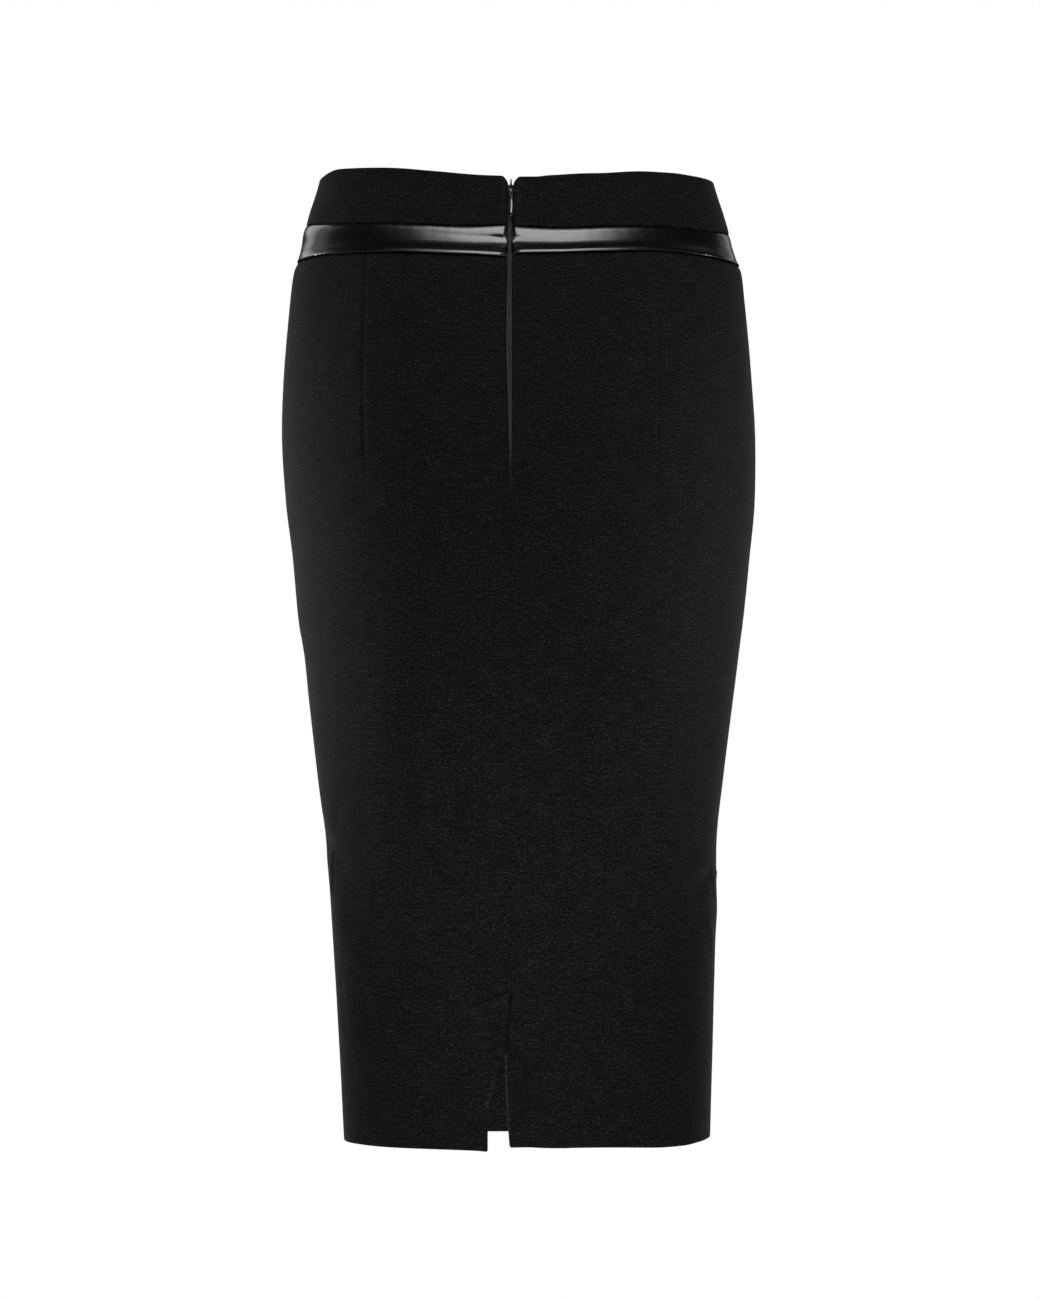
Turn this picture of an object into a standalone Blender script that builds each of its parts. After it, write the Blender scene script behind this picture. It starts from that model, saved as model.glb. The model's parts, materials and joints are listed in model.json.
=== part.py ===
"""A pencil skirt, filled out as it is worn: a hollow tube of cloth from the waist to below the knee.

Frame: metres, +Z up, +Y to the wearer's front, +X to the wearer's right. X = 0 is the plane of the
centre-back seam, Y = 0 runs through the side seams, and Z = 0 is just below the top edge at the
centre back.
A point of the cloth is given by its turn about the middle of the section, in degrees from the
centre back (positive towards +X, 90 at a side seam, 180 at the centre front), and its height z.
"""

import bmesh
import bpy
import numpy as np
from mathutils import Matrix, Vector

MM = 0.001

# Driving sizes, in millimetres.
PANEL_WALL = 1.6
YOKE_WALL = 2.0
BAND_WALL = 1.6
SEAM_GAP = 0.3
BAND_PUFF = 1.3
PUFF_FULLNESS = 0.7
NOTCH_WIDTH = 5.0
NOTCH_DEPTH = 6.0
NOTCH_CURVE = 1.6
ZIP_OPENING = 1.3
DART_X = 104.0
DART_LEAN = 2.0
DART_HEAD_Z = -54.0
DART_END_Z = -228.0
DART_FADE = 50.0
DART_DEPTH = 0.7
DART_HALF_WIDTH = 2.5
ZIP_TOP_Z = -4.0
ZIP_END_Z = -226.0
ZIP_CHAIN_WIDTH = 4.2
ZIP_CHAIN_THICKNESS = 1.3
ZIP_TAPE_WIDTH = 25.0
ZIP_TAPE_THICKNESS = 0.8
ZIP_HUMP_HALF = 2.6
ZIP_HUMP_FOOT = 4.4

# How finely the pieces are divided, and how often values that depend on each other are settled.
BACK_COLUMNS = 15
FRONT_COLUMNS = 28
DART_COLUMN = 10
SIDE_COLUMNS = 7
BACK_ROWS = 30
FRONT_ROWS = 21
ZIP_ROWS = 18
YOKE_SHARES = np.array((0, 0.08, 0.36, 0.68, 1.0))
BAND_SHARES = np.array((0, 0.14, 0.38, 0.66, 0.88, 1.0))
TURN_STEPS = 12
SETTLE_STEPS = 4
SHARP_DEGREES = 40

# The form, section by section, in millimetres. half_width is from the middle of the section to a
# side seam, middle_x is where that middle lies, and roundness is the exponent of the outline
# (2 is an ellipse, more is squarer).
SECTION_COLUMNS = ("z", "half_width", "middle_x", "back", "front", "roundness")
SECTIONS = (
    (15, 141.5, 3.4, 94.0, 97.0, 2.20),
    (0, 144.6, 4.0, 96.0, 98.5, 2.20),
    (-25, 152.4, 4.0, 99.5, 101.5, 2.20),
    (-36, 155.4, 4.1, 101.2, 102.8, 2.21),
    (-45, 156.5, 4.4, 102.6, 103.9, 2.23),
    (-54, 159.1, 4.5, 104.0, 105.0, 2.25),
    (-64, 163.3, 4.9, 106.5, 106.5, 2.25),
    (-84, 165.7, 4.7, 109.5, 108.5, 2.30),
    (-142, 170.8, 4.8, 118.0, 112.5, 2.35),
    (-186, 172.8, 5.5, 122.0, 113.0, 2.35),
    (-230, 171.2, 6.8, 121.5, 112.0, 2.35),
    (-273, 166.6, 7.5, 118.5, 110.5, 2.35),
    (-317, 162.3, 7.2, 115.5, 109.0, 2.35),
    (-344, 158.3, 7.7, 113.8, 108.3, 2.35),
    (-375, 154.8, 7.2, 112.0, 107.5, 2.35),
    (-434, 147.8, 6.9, 110.0, 106.5, 2.35),
    (-478, 142.8, 7.4, 109.0, 106.0, 2.30),
    (-521, 140.8, 9.1, 108.5, 106.0, 2.30),
    (-609, 137.0, 10.6, 108.0, 106.0, 2.30),
    (-700, 133.5, 11.8, 108.0, 106.0, 2.30),
)

# Heights of the waist edge and of the hem, in millimetres, by turn.
EDGE_COLUMNS = ("turn", "waist", "hem")
EDGES = (
    (-180, -3.0, -697.0),
    (-135, 0.0, -697.0),
    (-90, 3.2, -696.0),
    (-82, 5.2, -696.2),
    (-70, 9.5, -696.4),
    (-53, 8.8, -697.0),
    (-35, 5.6, -697.2),
    (-19, 2.7, -697.8),
    (-14, 2.1, -698.6),
    (-6, 1.6, -695.4),
    (0, 1.0, -695.2),
    (8, 1.0, -695.8),
    (14, 2.0, -695.9),
    (19, 2.5, -695.7),
    (27, 3.5, -695.7),
    (35, 4.0, -696.0),
    (51, 6.0, -697.0),
    (61, 5.7, -696.6),
    (69, 4.5, -695.3),
    (90, 1.8, -693.2),
    (135, -1.0, -696.0),
    (180, -3.0, -697.0),
)

# Heights of the seams above and below the band, in millimetres, by turn. Its two ends lie a little
# apart in height where they meet at the zip.
BAND_COLUMNS = ("turn", "top", "foot")
BAND = (
    (-180, -41.0, -63.5),
    (-135, -38.0, -60.5),
    (-90, -29.8, -57.0),
    (-79, -30.0, -55.6),
    (-68, -30.6, -53.6),
    (-60, -31.2, -53.2),
    (-45, -32.5, -52.9),
    (-35, -33.3, -53.8),
    (-26, -34.3, -54.8),
    (-18, -34.8, -55.5),
    (-3.4, -34.2, -57.0),
    (-1, -34.9, -55.0),
    (8, -35.8, -54.5),
    (17, -36.2, -54.2),
    (27, -35.6, -53.4),
    (36, -34.7, -52.8),
    (48, -34.4, -51.8),
    (54, -34.5, -52.2),
    (60, -34.6, -53.4),
    (64, -35.3, -54.5),
    (69, -35.9, -55.7),
    (75, -36.3, -57.4),
    (80, -36.5, -58.4),
    (90, -37.0, -59.7),
    (135, -39.5, -61.5),
    (180, -41.0, -63.5),
)

# The two edges that meet at the centre back, in millimetres across X: parted a little over the
# zip, closed along the seam, drawn to the left at the top of the vent and open below it.
CENTRE_BACK_COLUMNS = ("z", "left_edge", "right_edge")
CENTRE_BACK = (
    (15, -1.3, 1.3),
    (-8, -1.4, 1.4),
    (-20, -1.8, 1.2),
    (-33, -2.1, 0.6),
    (-61, -2.4, 0.5),
    (-90, -2.9, 0.6),
    (-117, -3.1, 0.7),
    (-140, -2.7, 0.7),
    (-160, -2.0, 0.7),
    (-190, -1.2, 0.5),
    (-205, -0.6, 0.2),
    (-221, -0.15, 0.15),
    (-572, -0.15, 0.15),
    (-588, -1.9, -1.4),
    (-600, -2.7, -2.1),
    (-612, -3.8, -3.2),
    (-622, -4.9, -4.2),
    (-629, -6.6, -4.3),
    (-636, -9.6, -4.2),
    (-643, -12.0, -4.0),
    (-650, -13.0, -3.8),
    (-657, -14.9, -3.5),
    (-664, -16.4, -3.1),
    (-673, -16.8, -2.6),
    (-684, -17.1, -1.8),
    (-705, -17.4, -0.1),
)

# Soft folds, in millimetres: each runs over the back or the front from one end to the other, its
# ends given as x and z there, and stands out (or sinks, below zero) by its height.
FOLD_COLUMNS = ("x1", "z1", "x2", "z2", "width", "height")
BACK_FOLDS = (
    # the fan of drag lines about the top of the vent, to the right and to the left
    (30, -560, 104, -655, 13, 1.5),
    (66, -560, 126, -625, 13, -1.3),
    (6, -618, 48, -676, 11, -1.6),
    (24, -600, 78, -676, 12, 1.2),
    (-34, -588, -112, -652, 14, 1.5),
    (-66, -560, -100, -612, 14, -1.4),
    (-14, -606, -60, -664, 12, -1.2),
    # pinches at the sides, at knee height
    (146, -500, 132, -514, 6, -2.2),
    (150, -524, 134, -556, 14, 0.9),
    (-142, -470, -118, -494, 10, -1.8),
    (-128, -520, -108, -566, 13, 0.9),
    (-112, -524, -100, -548, 12, -1.4),
    # the hollow below the seat, either side of the centre seam, and the thighs beside it
    (-36, -330, -40, -500, 22, -1.6),
    (40, -330, 42, -500, 24, -1.8),
    (-96, -340, -92, -470, 34, 1.6),
    (98, -320, 94, -460, 34, 1.4),
    # a short crease beside the end of the right dart
    (119, -200, 127, -236, 4, -1.3),
    # buckles of the waist yoke
    (-84, -2, -30, -20, 12, -1.2),
    (-126, -4, -92, -28, 12, 1.0),
    (40, -16, 92, -6, 12, -1.0),
    (86, -28, 122, -6, 11, 1.0),
)
FRONT_FOLDS = (
    # whiskers across the lap, and the hollow between the thighs
    (-132, -150, -52, -176, 12, -1.2),
    (134, -158, 60, -180, 12, -1.0),
    (-118, -196, -64, -212, 14, 0.9),
    (10, -300, 12, -520, 26, -1.8),
    (-84, -300, -82, -470, 34, 1.5),
    (92, -310, 90, -480, 34, 1.4),
    # knee and hem
    (-128, -512, -84, -540, 12, -1.4),
    (136, -520, 96, -552, 12, -1.2),
    (-70, -560, -58, -680, 16, 1.2),
    (74, -570, 88, -684, 16, 1.1),
    # buckles of the waist yoke
    (-96, -8, -40, -26, 12, -1.0),
    (52, -22, 108, -8, 12, -0.9),
)
# Millimetres of cloth in a degree of turn, for measuring how far a point lies from a fold.
DEGREE = 2.0
# A fold keeps its full height over the middle of its length and dies out towards its ends.
FOLD_FULL = (0.15, 0.85)

# How each material is shown: base colour, roughness and metallic value.
SHOWN = {
    "jersey": ((0.010, 0.010, 0.011, 1), 0.85, 0.0),
    "band_leather": ((0.006, 0.006, 0.006, 1), 0.25, 0.0),
    "zip_cloth": ((0.020, 0.020, 0.021, 1), 0.80, 0.0),
    "zip_nylon": ((0.050, 0.050, 0.052, 1), 0.45, 0.0),
    "black_lacquer": ((0.012, 0.012, 0.013, 1), 0.20, 0.6),
}


def clear_scene():
    for obj in list(bpy.data.objects):
        bpy.data.objects.remove(obj)


def curve_of(rows, columns, key, name):
    """One column of a table as a smooth function of its key column that never overshoots its rows."""
    table = np.array(sorted(rows), float)
    x = table[:, columns.index(key)]
    y = table[:, columns.index(name)]
    step = np.diff(x)
    slope = np.diff(y) / step
    before, after = slope[:-1], slope[1:]
    total = before + after
    same_way = before * after > 0
    inner = np.where(same_way, 2 * before * after / np.where(same_way, total, 1), 0)
    tangent = np.concatenate([slope[:1], inner, slope[-1:]])

    def at(value):
        value = np.clip(value, x[0], x[-1])
        i = np.clip(np.searchsorted(x, value) - 1, 0, len(step) - 1)
        t = (value - x[i]) / step[i]
        rise = y[i + 1] - y[i]
        start, end = tangent[i] * step[i], tangent[i + 1] * step[i]
        return y[i] + t * start + t * t * (3 * rise - 2 * start - end) + t**3 * (start + end - 2 * rise)

    return at


section = {name: curve_of(SECTIONS, SECTION_COLUMNS, "z", name) for name in SECTION_COLUMNS[1:]}
edge_height = {name: curve_of(EDGES, EDGE_COLUMNS, "turn", name) for name in EDGE_COLUMNS[1:]}
band_height = {name: curve_of(BAND, BAND_COLUMNS, "turn", name) for name in BAND_COLUMNS[1:]}
centre_back = {
    name: curve_of(CENTRE_BACK, CENTRE_BACK_COLUMNS, "z", name) for name in CENTRE_BACK_COLUMNS[1:]
}


def wrapped(turn):
    """A turn brought into -180 to 180 degrees."""
    return (turn + 180.0) % 360.0 - 180.0


def radius(turn, z):
    """Distance from the middle of the section to its smooth outline."""
    a = np.radians(turn)
    power = section["roundness"](z)
    depth = np.where(np.cos(a) > 0, section["back"](z), section["front"](z))
    across = np.abs(np.sin(a) / section["half_width"](z)) ** power
    along = np.abs(np.cos(a) / depth) ** power
    return (across + along) ** (-1 / power)


def turn_at_x(x, z, front=False):
    """The turn at which the section at height z crosses x, on the back or on the front."""
    turn = np.full(np.broadcast(x, z).shape, 180.0 if front else 0.0)
    for _ in range(TURN_STEPS):
        reach = np.clip((x - section["middle_x"](z)) / radius(turn, z), -0.999, 0.999)
        turn = np.degrees(np.arcsin(reach))
        if front:
            turn = 180 - turn
    return turn


def fold_lines():
    """Each fold as its start, its run to the far end (both as turn and z), its width and height."""
    lines = []
    for rows, front in ((BACK_FOLDS, False), (FRONT_FOLDS, True)):
        for row in rows:
            fold = dict(zip(FOLD_COLUMNS, row))
            start = turn_at_x(fold["x1"], fold["z1"], front), fold["z1"]
            end = turn_at_x(fold["x2"], fold["z2"], front), fold["z2"]
            run = (end[0] - start[0]) * DEGREE, end[1] - start[1]
            lines.append((start, run, fold["width"], fold["height"]))
    return lines


FOLD_LINES = fold_lines()


def fold_height(turn, z):
    """How far the folds lift the cloth at a point, in millimetres."""
    lift = np.zeros(np.broadcast(turn, z).shape)
    for start, run, width, height in FOLD_LINES:
        across = wrapped(turn - start[0]) * DEGREE
        down = z - start[1]
        share = (across * run[0] + down * run[1]) / (run[0] ** 2 + run[1] ** 2)
        nearest = np.clip(share, *FOLD_FULL)
        away = np.hypot(across - nearest * run[0], down - nearest * run[1])
        lift += height * np.exp(-((away / width) ** 2))
    return lift


def smooth_point(turn, z):
    """A point of the cloth's outer face, folds and all, in millimetres."""
    a = np.radians(turn)
    r = radius(turn, z) + fold_height(turn, z)
    return np.stack([section["middle_x"](z) + r * np.sin(a), -r * np.cos(a), z + 0 * r], axis=-1)


def normal_at(turn, z):
    """The cloth's outward direction at a point."""
    small_turn, small_z = 0.05, 0.5
    sideways = smooth_point(turn + small_turn, z) - smooth_point(turn - small_turn, z)
    upwards = smooth_point(turn, z + small_z) - smooth_point(turn, z - small_z)
    across = np.cross(sideways, upwards)
    return across / np.linalg.norm(across, axis=-1, keepdims=True)


def side_name(side):
    return "right" if side > 0 else "left"


def new_object(name, bm, material):
    mesh = bpy.data.meshes.new(name)
    bm.to_mesh(mesh)
    bm.free()
    mesh.materials.append(material)
    mesh.shade_smooth()
    mesh.set_sharp_from_angle(angle=np.radians(SHARP_DEGREES))
    obj = bpy.data.objects.new(name, mesh)
    bpy.context.scene.collection.objects.link(obj)
    return obj


def wall(name, outer, inner, material):
    """A closed wall between two grids of points, in millimetres, rows from the top down."""
    bm = bmesh.new()
    rows, columns = outer.shape[:2]
    faces_out = [[bm.verts.new(Vector(p) * MM) for p in line] for line in outer]
    faces_in = [[bm.verts.new(Vector(p) * MM) for p in line] for line in inner]
    for i in range(rows - 1):
        for j in range(columns - 1):
            for grid, order in ((faces_out, 1), (faces_in, -1)):
                corners = (grid[i][j], grid[i + 1][j], grid[i + 1][j + 1], grid[i][j + 1])
                bm.faces.new(corners[::order])
    rim = [(0, j) for j in range(columns)]
    rim += [(i, columns - 1) for i in range(1, rows)]
    rim += [(rows - 1, j) for j in range(columns - 2, -1, -1)]
    rim += [(i, 0) for i in range(rows - 2, 0, -1)]
    for (i, j), (k, m) in zip(rim, rim[1:] + rim[:1]):
        bm.faces.new((faces_out[i][j], faces_out[k][m], faces_in[k][m], faces_in[i][j]))
    return new_object(name, bm, material)


def cloth_wall(name, turn, z, thickness, material, lift):
    """A wall that follows the cloth at a grid of turns and heights, its outer face raised by lift."""
    normal = normal_at(turn, z)
    face = smooth_point(turn, z)
    return wall(name, face + normal * lift[..., None], face - normal * thickness, material)


def spaced(start, end, steps):
    """Even steps from start to end, along a new last axis."""
    share = np.linspace(0, 1, steps + 1)
    return start[:, None] * (1 - share) + end[:, None] * share


def side_turn(side, z):
    """The turn of a piece's edge at its side seam: half a seam gap short of 90 degrees."""
    return side * (90 - np.degrees(SEAM_GAP / 2 / section["half_width"](z)))


def seam_x(side, z):
    """Where a back piece's edge at the centre back lies."""
    return centre_back["right_edge" if side > 0 else "left_edge"](z)


def back_turns(side, z_rows, stops):
    """Turns of a back piece's columns, from the centre back to the side seam by way of stops.

    Each stop is a function that gives x from z, or None for the side seam, and the steps up to it.
    """
    start = turn_at_x(seam_x(side, z_rows), z_rows)
    lines = [start[:, None]]
    for x_at, steps in stops:
        end = side_turn(side, z_rows) if x_at is None else turn_at_x(x_at(z_rows), z_rows)
        lines.append(spaced(start, end, steps)[:, 1:])
        start = end
    return np.concatenate(lines, axis=1)


def front_turns(z_rows, steps):
    """Turns of a front piece's columns, from the right side seam round to the left."""
    past = np.degrees(SEAM_GAP / 2 / section["half_width"](z_rows))
    return spaced(90 + past, 270 - past, steps)


def heights(turns, top, bottom, shares):
    """Heights at a grid of turns: each row is a share of the way from the top to the bottom edge."""
    high, low = top(turns), bottom(turns)
    return high + (low - high) * shares[:, None]


def settled(turns_at, top, bottom, shares):
    """Turns and heights of a piece's grid. Each depends on the other, so they are settled in turn."""
    z_rows = SECTIONS[-1][0] * shares
    for _ in range(SETTLE_STEPS):
        turns = turns_at(z_rows)
        z = heights(turns, top, bottom, shares)
        z_rows = z[:, 0]
    return turns, z


def back_wall(name, side, stops, edges, shares, thickness, material, lift=0.0):
    """A back piece's wall. lift, per row and column from the centre back, raises its outer face."""
    turns, z = settled(lambda rows: back_turns(side, rows, stops), *edges, shares)
    lift = lift + 0 * turns
    if side < 0:
        turns, z, lift = turns[:, ::-1], z[:, ::-1], lift[:, ::-1]
    cloth_wall(name, turns, z, thickness, material, lift)


def front_wall(name, steps, edges, shares, thickness, material, lift=0.0):
    turns, z = settled(lambda rows: front_turns(rows, steps), *edges, shares)
    cloth_wall(name, turns, z, thickness, material, lift + 0 * turns)


def waist_edge(turn):
    """Height of the waist edge, cut away beside the zip."""
    level = edge_height["waist"](wrapped(turn))
    x = np.abs(smooth_point(turn, level)[..., 0])
    on_back = np.cos(np.radians(turn)) > 0
    share = np.clip(1 - (x - ZIP_OPENING) / NOTCH_WIDTH, 0, 1)
    return level - NOTCH_DEPTH * np.where(on_back, share**NOTCH_CURVE, 0)


def yoke_foot(turn):
    return band_height["top"](wrapped(turn)) + SEAM_GAP / 2


def band_head(turn):
    return band_height["top"](wrapped(turn)) - SEAM_GAP / 2


def band_foot(turn):
    return band_height["foot"](wrapped(turn)) + SEAM_GAP / 2


def panel_head(turn):
    return band_height["foot"](wrapped(turn)) - SEAM_GAP / 2


def hem_edge(turn):
    return edge_height["hem"](wrapped(turn))


def make_yoke(material):
    """The waist yoke, its top corners cut away beside the zip."""
    edges = (waist_edge, yoke_foot)
    for side in (-1, 1):
        notch = side * (ZIP_OPENING + NOTCH_WIDTH)
        stops = ((lambda z, x=notch: x + 0 * z, 3), (None, BACK_COLUMNS))
        name = "back_yoke_" + side_name(side)
        back_wall(name, side, stops, edges, YOKE_SHARES, YOKE_WALL, material)
    front_wall("front_yoke", FRONT_COLUMNS, edges, YOKE_SHARES, YOKE_WALL, material)


def make_band(material):
    """The band, puffed between its seams."""
    puff = BAND_PUFF * np.sin(np.pi * BAND_SHARES)[:, None] ** PUFF_FULLNESS
    edges = (band_head, band_foot)
    for side in (-1, 1):
        stops = ((None, BACK_COLUMNS),)
        name = "back_band_" + side_name(side)
        back_wall(name, side, stops, edges, BAND_SHARES, BAND_WALL, material, puff)
    front_wall("front_band", FRONT_COLUMNS, edges, BAND_SHARES, BAND_WALL, material, puff)


def dart_line(z):
    """Distance of a back dart from the centre back: it leans out by a little at mid length."""
    share = np.clip((z - DART_END_Z) / (DART_HEAD_Z - DART_END_Z), 0, 1)
    return DART_X + DART_LEAN * np.sin(np.pi * share)


def make_panels(material):
    """Two back panels, each with a dart sunk along its length, and the front panel."""
    edges = (panel_head, hem_edge)
    shares = np.linspace(0, 1, BACK_ROWS + 1)
    for side in (-1, 1):
        stops = (
            (lambda z, s=side: s * (dart_line(z) - DART_HALF_WIDTH), DART_COLUMN - 1),
            (lambda z, s=side: s * dart_line(z), 1),
            (lambda z, s=side: s * (dart_line(z) + DART_HALF_WIDTH), 1),
            (None, SIDE_COLUMNS),
        )
        z_rows = DART_HEAD_Z + (edge_height["hem"](0) - DART_HEAD_Z) * shares
        sink = np.zeros((BACK_ROWS + 1, DART_COLUMN + SIDE_COLUMNS + 2))
        sink[:, DART_COLUMN] = -DART_DEPTH * np.clip((z_rows - DART_END_Z) / DART_FADE, 0, 1)
        name = "back_panel_" + side_name(side)
        back_wall(name, side, stops, edges, shares, PANEL_WALL, material, sink)
    shares = np.linspace(0, 1, FRONT_ROWS + 1)
    front_wall("front_panel", FRONT_COLUMNS, edges, shares, PANEL_WALL, material)


def zip_ribbon(name, x, depth, thickness, material):
    """A strip behind the middle of the gap at the centre back.

    Its columns lie at x from that middle, each its own depth behind the cloth's outer face.
    """
    z = np.repeat(np.linspace(ZIP_TOP_Z, ZIP_END_Z, ZIP_ROWS + 1)[:, None], len(x), axis=1)
    middle = (centre_back["left_edge"](z) + centre_back["right_edge"](z)) / 2
    turns = turn_at_x(middle + np.array(x)[None, :], z)
    normal = normal_at(turns, z)
    outer = smooth_point(turns, z) - normal * np.array(depth)[None, :, None]
    return wall(name, outer, outer - normal * thickness, material)


def make_zip(cloth, nylon):
    """The chain in the gap, and the tape that lies against the cloth and humps behind the chain."""
    front = YOKE_WALL + SEAM_GAP
    half = ZIP_CHAIN_WIDTH / 2
    zip_ribbon("zip_chain", (-half, 0, half), (front,) * 3, ZIP_CHAIN_THICKNESS, nylon)
    back = front + ZIP_CHAIN_THICKNESS + SEAM_GAP
    x = (-ZIP_TAPE_WIDTH / 2, -ZIP_HUMP_FOOT, -ZIP_HUMP_HALF)
    x = x + tuple(-value for value in x[::-1])
    depth = (front, front, back, back, front, front)
    zip_ribbon("zip_tape", x, depth, ZIP_TAPE_THICKNESS, cloth)


# The slider and its pull are drawn flat about the pull's pivot, in millimetres: x across, v up
# and w outwards, and then set upright against the cloth, the pull leant out by some degrees.
PIVOT_Z = -10.5
PIVOT_OUT = 2.45
PULL_LEAN = 3.5
PLATE_OUT = 0.4
PLATE_THICKNESS = 1.0
PLATE_COLUMNS = ("x", "v")
PLATE_OUTLINE = (
    (-1.5, -3.2),
    (-0.8, -4.0),
    (0.8, -4.0),
    (1.5, -3.2),
    (1.9, 2.8),
    (1.6, 4.2),
    (0.9, 4.9),
    (0.65, 9.4),
    (-0.65, 9.4),
    (-0.9, 4.9),
    (-1.6, 4.2),
    (-1.9, 2.8),
)
NECK_TOP, NECK_FOOT = 3.6, -1.4
NECK_HALF = 0.7
NECK_REACH = 1.9
BRIDGE_HALF = 0.5
BRIDGE_OUTER = (2.5, 1.8)
BRIDGE_INNER = (1.7, 1.0)
BRIDGE_STEPS = 10
PULL_THICKNESS = 0.9
EYE_HALF = 0.8
EYE_TOP, EYE_FOOT = -0.45, -3.0
EYE_CORNER = 0.4
# Half the pull's width down its length: an eye round the slider's bridge, a neck and a drop.
PULL_COLUMNS = ("v", "half")
PULL_OUTLINE = (
    (0.5, 1.0),
    (-0.45, 1.35),
    (-3.0, 1.35),
    (-4.0, 0.95),
    (-5.6, 0.85),
    (-8.5, 1.05),
    (-12.0, 1.5),
    (-15.0, 1.85),
    (-16.8, 1.75),
    (-18.0, 1.3),
    (-18.7, 0.55),
)
PULL_STEPS = (2, 4, 14)


def pivot_frame(lean):
    """Turns x, v, w into the part's frame about the pivot, its foot leant out by lean degrees."""
    turn = turn_at_x(0.0, PIVOT_Z)
    across = Vector((1, 0, 0))
    normal = Vector(normal_at(turn, PIVOT_Z))
    normal.x = 0
    normal.normalize()
    pivot = Vector(smooth_point(turn, PIVOT_Z)) + normal * PIVOT_OUT
    pivot.x = 0
    leant = Matrix.Rotation(np.radians(-lean), 3, across) @ normal
    axes = Matrix((across, leant.cross(across), leant)).transposed().to_4x4()
    return pivot * MM, axes @ Matrix.Scale(MM, 4)


def prism(name, outline, low, high, lean, material):
    """A solid from an outline of (x, v), between two heights, with its origin on the pivot."""
    bm = bmesh.new()
    bottom = [bm.verts.new((x, v, low)) for x, v in outline]
    top = [bm.verts.new((x, v, high)) for x, v in outline]
    return closed_object(name, bm, bottom, top, lean, material)


def closed_object(name, bm, near, far, lean, material):
    """Closes two like loops into a solid and sets it at the pivot."""
    bm.faces.new(near)
    bm.faces.new(far)
    for i in range(len(near)):
        k = (i + 1) % len(near)
        bm.faces.new((near[i], near[k], far[k], far[i]))
    bm.normal_update()
    bmesh.ops.triangulate(bm, faces=[f for f in bm.faces if len(f.verts) > 4])
    bmesh.ops.recalc_face_normals(bm, faces=bm.faces)
    pivot, axes = pivot_frame(lean)
    bm.transform(axes)
    obj = new_object(name, bm, material)
    obj.location = pivot
    return obj


def combine(obj, helper, operation):
    """Joins a helper to a solid, or cuts it out, and hides the helper."""
    step = obj.modifiers.new(helper.name, "BOOLEAN")
    step.operation = operation
    step.object = helper
    helper.hide_render = True
    helper.display_type = "WIRE"


def make_slider(material):
    """A plate with a tongue over the gap, a neck through it, and a bridge that carries the pull."""
    low = PLATE_OUT - PIVOT_OUT
    middle = low + PLATE_THICKNESS / 2
    slider = prism("zip_slider", PLATE_OUTLINE, low, low + PLATE_THICKNESS, 0, material)
    neck = [(-NECK_HALF, NECK_TOP), (NECK_HALF, NECK_TOP)]
    neck += [(NECK_HALF, NECK_FOOT), (-NECK_HALF, NECK_FOOT)]
    reach = -NECK_REACH - PIVOT_OUT
    combine(slider, prism("slider_neck", neck, reach, middle, 0, material), "UNION")

    angles = np.linspace(0, np.pi, BRIDGE_STEPS + 1)
    outer = [(BRIDGE_OUTER[0] * np.cos(a), BRIDGE_OUTER[1] * np.sin(a)) for a in angles]
    inner = [(BRIDGE_INNER[0] * np.cos(a), BRIDGE_INNER[1] * np.sin(a)) for a in angles]
    arch = [(BRIDGE_OUTER[0], middle)] + outer + [(-BRIDGE_OUTER[0], middle)]
    arch += [(-BRIDGE_INNER[0], middle)] + inner[::-1] + [(BRIDGE_INNER[0], middle)]
    bm = bmesh.new()
    near = [bm.verts.new((-BRIDGE_HALF, v, w)) for v, w in arch]
    far = [bm.verts.new((BRIDGE_HALF, v, w)) for v, w in arch]
    combine(slider, closed_object("slider_bridge", bm, near, far, 0, material), "UNION")


def make_pull(material):
    """A flat drop with an eye, hung on the slider's bridge, its origin on the pivot."""
    half = curve_of(PULL_OUTLINE, PULL_COLUMNS, "v", "half")
    stops = (PULL_OUTLINE[0][0], EYE_TOP, EYE_FOOT, PULL_OUTLINE[-1][0])
    v = [stops[0]]
    for start, end, steps in zip(stops, stops[1:], PULL_STEPS):
        v.extend(np.linspace(start, end, steps + 1)[1:])
    outline = [(half(t), t) for t in v] + [(-half(t), t) for t in v[::-1]]
    thick = PULL_THICKNESS / 2
    pull = prism("zip_pull", outline, -thick, thick, PULL_LEAN, material)
    eye = [(-EYE_HALF, EYE_TOP), (EYE_HALF, EYE_TOP), (EYE_HALF, EYE_FOOT + EYE_CORNER)]
    eye += [(EYE_HALF - EYE_CORNER, EYE_FOOT), (EYE_CORNER - EYE_HALF, EYE_FOOT)]
    eye += [(-EYE_HALF, EYE_FOOT + EYE_CORNER)]
    cutter = prism("pull_eye", eye, -2 * thick, 2 * thick, PULL_LEAN, material)
    combine(pull, cutter, "DIFFERENCE")


def make_materials():
    made = {}
    for name, (colour, roughness, metallic) in SHOWN.items():
        material = bpy.data.materials.new(name)
        material.use_nodes = True
        shader = material.node_tree.nodes["Principled BSDF"]
        shader.inputs["Base Color"].default_value = colour
        shader.inputs["Roughness"].default_value = roughness
        shader.inputs["Metallic"].default_value = metallic
        made[name] = material
    return made


def main():
    clear_scene()
    material = make_materials()
    make_yoke(material["jersey"])
    make_band(material["band_leather"])
    make_panels(material["jersey"])
    make_zip(material["zip_cloth"], material["zip_nylon"])
    make_slider(material["black_lacquer"])
    make_pull(material["black_lacquer"])


main()
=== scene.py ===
"""The looks of a pencil skirt: knit cloth, coated band, invisible zip, stitching and a plain studio.

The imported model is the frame: metres, +Z up, +Y to the wearer's front, +X to the wearer's right,
origin at the centre of the waist opening. Tables and form functions are in millimetres.
"""

import json
import math

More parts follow.
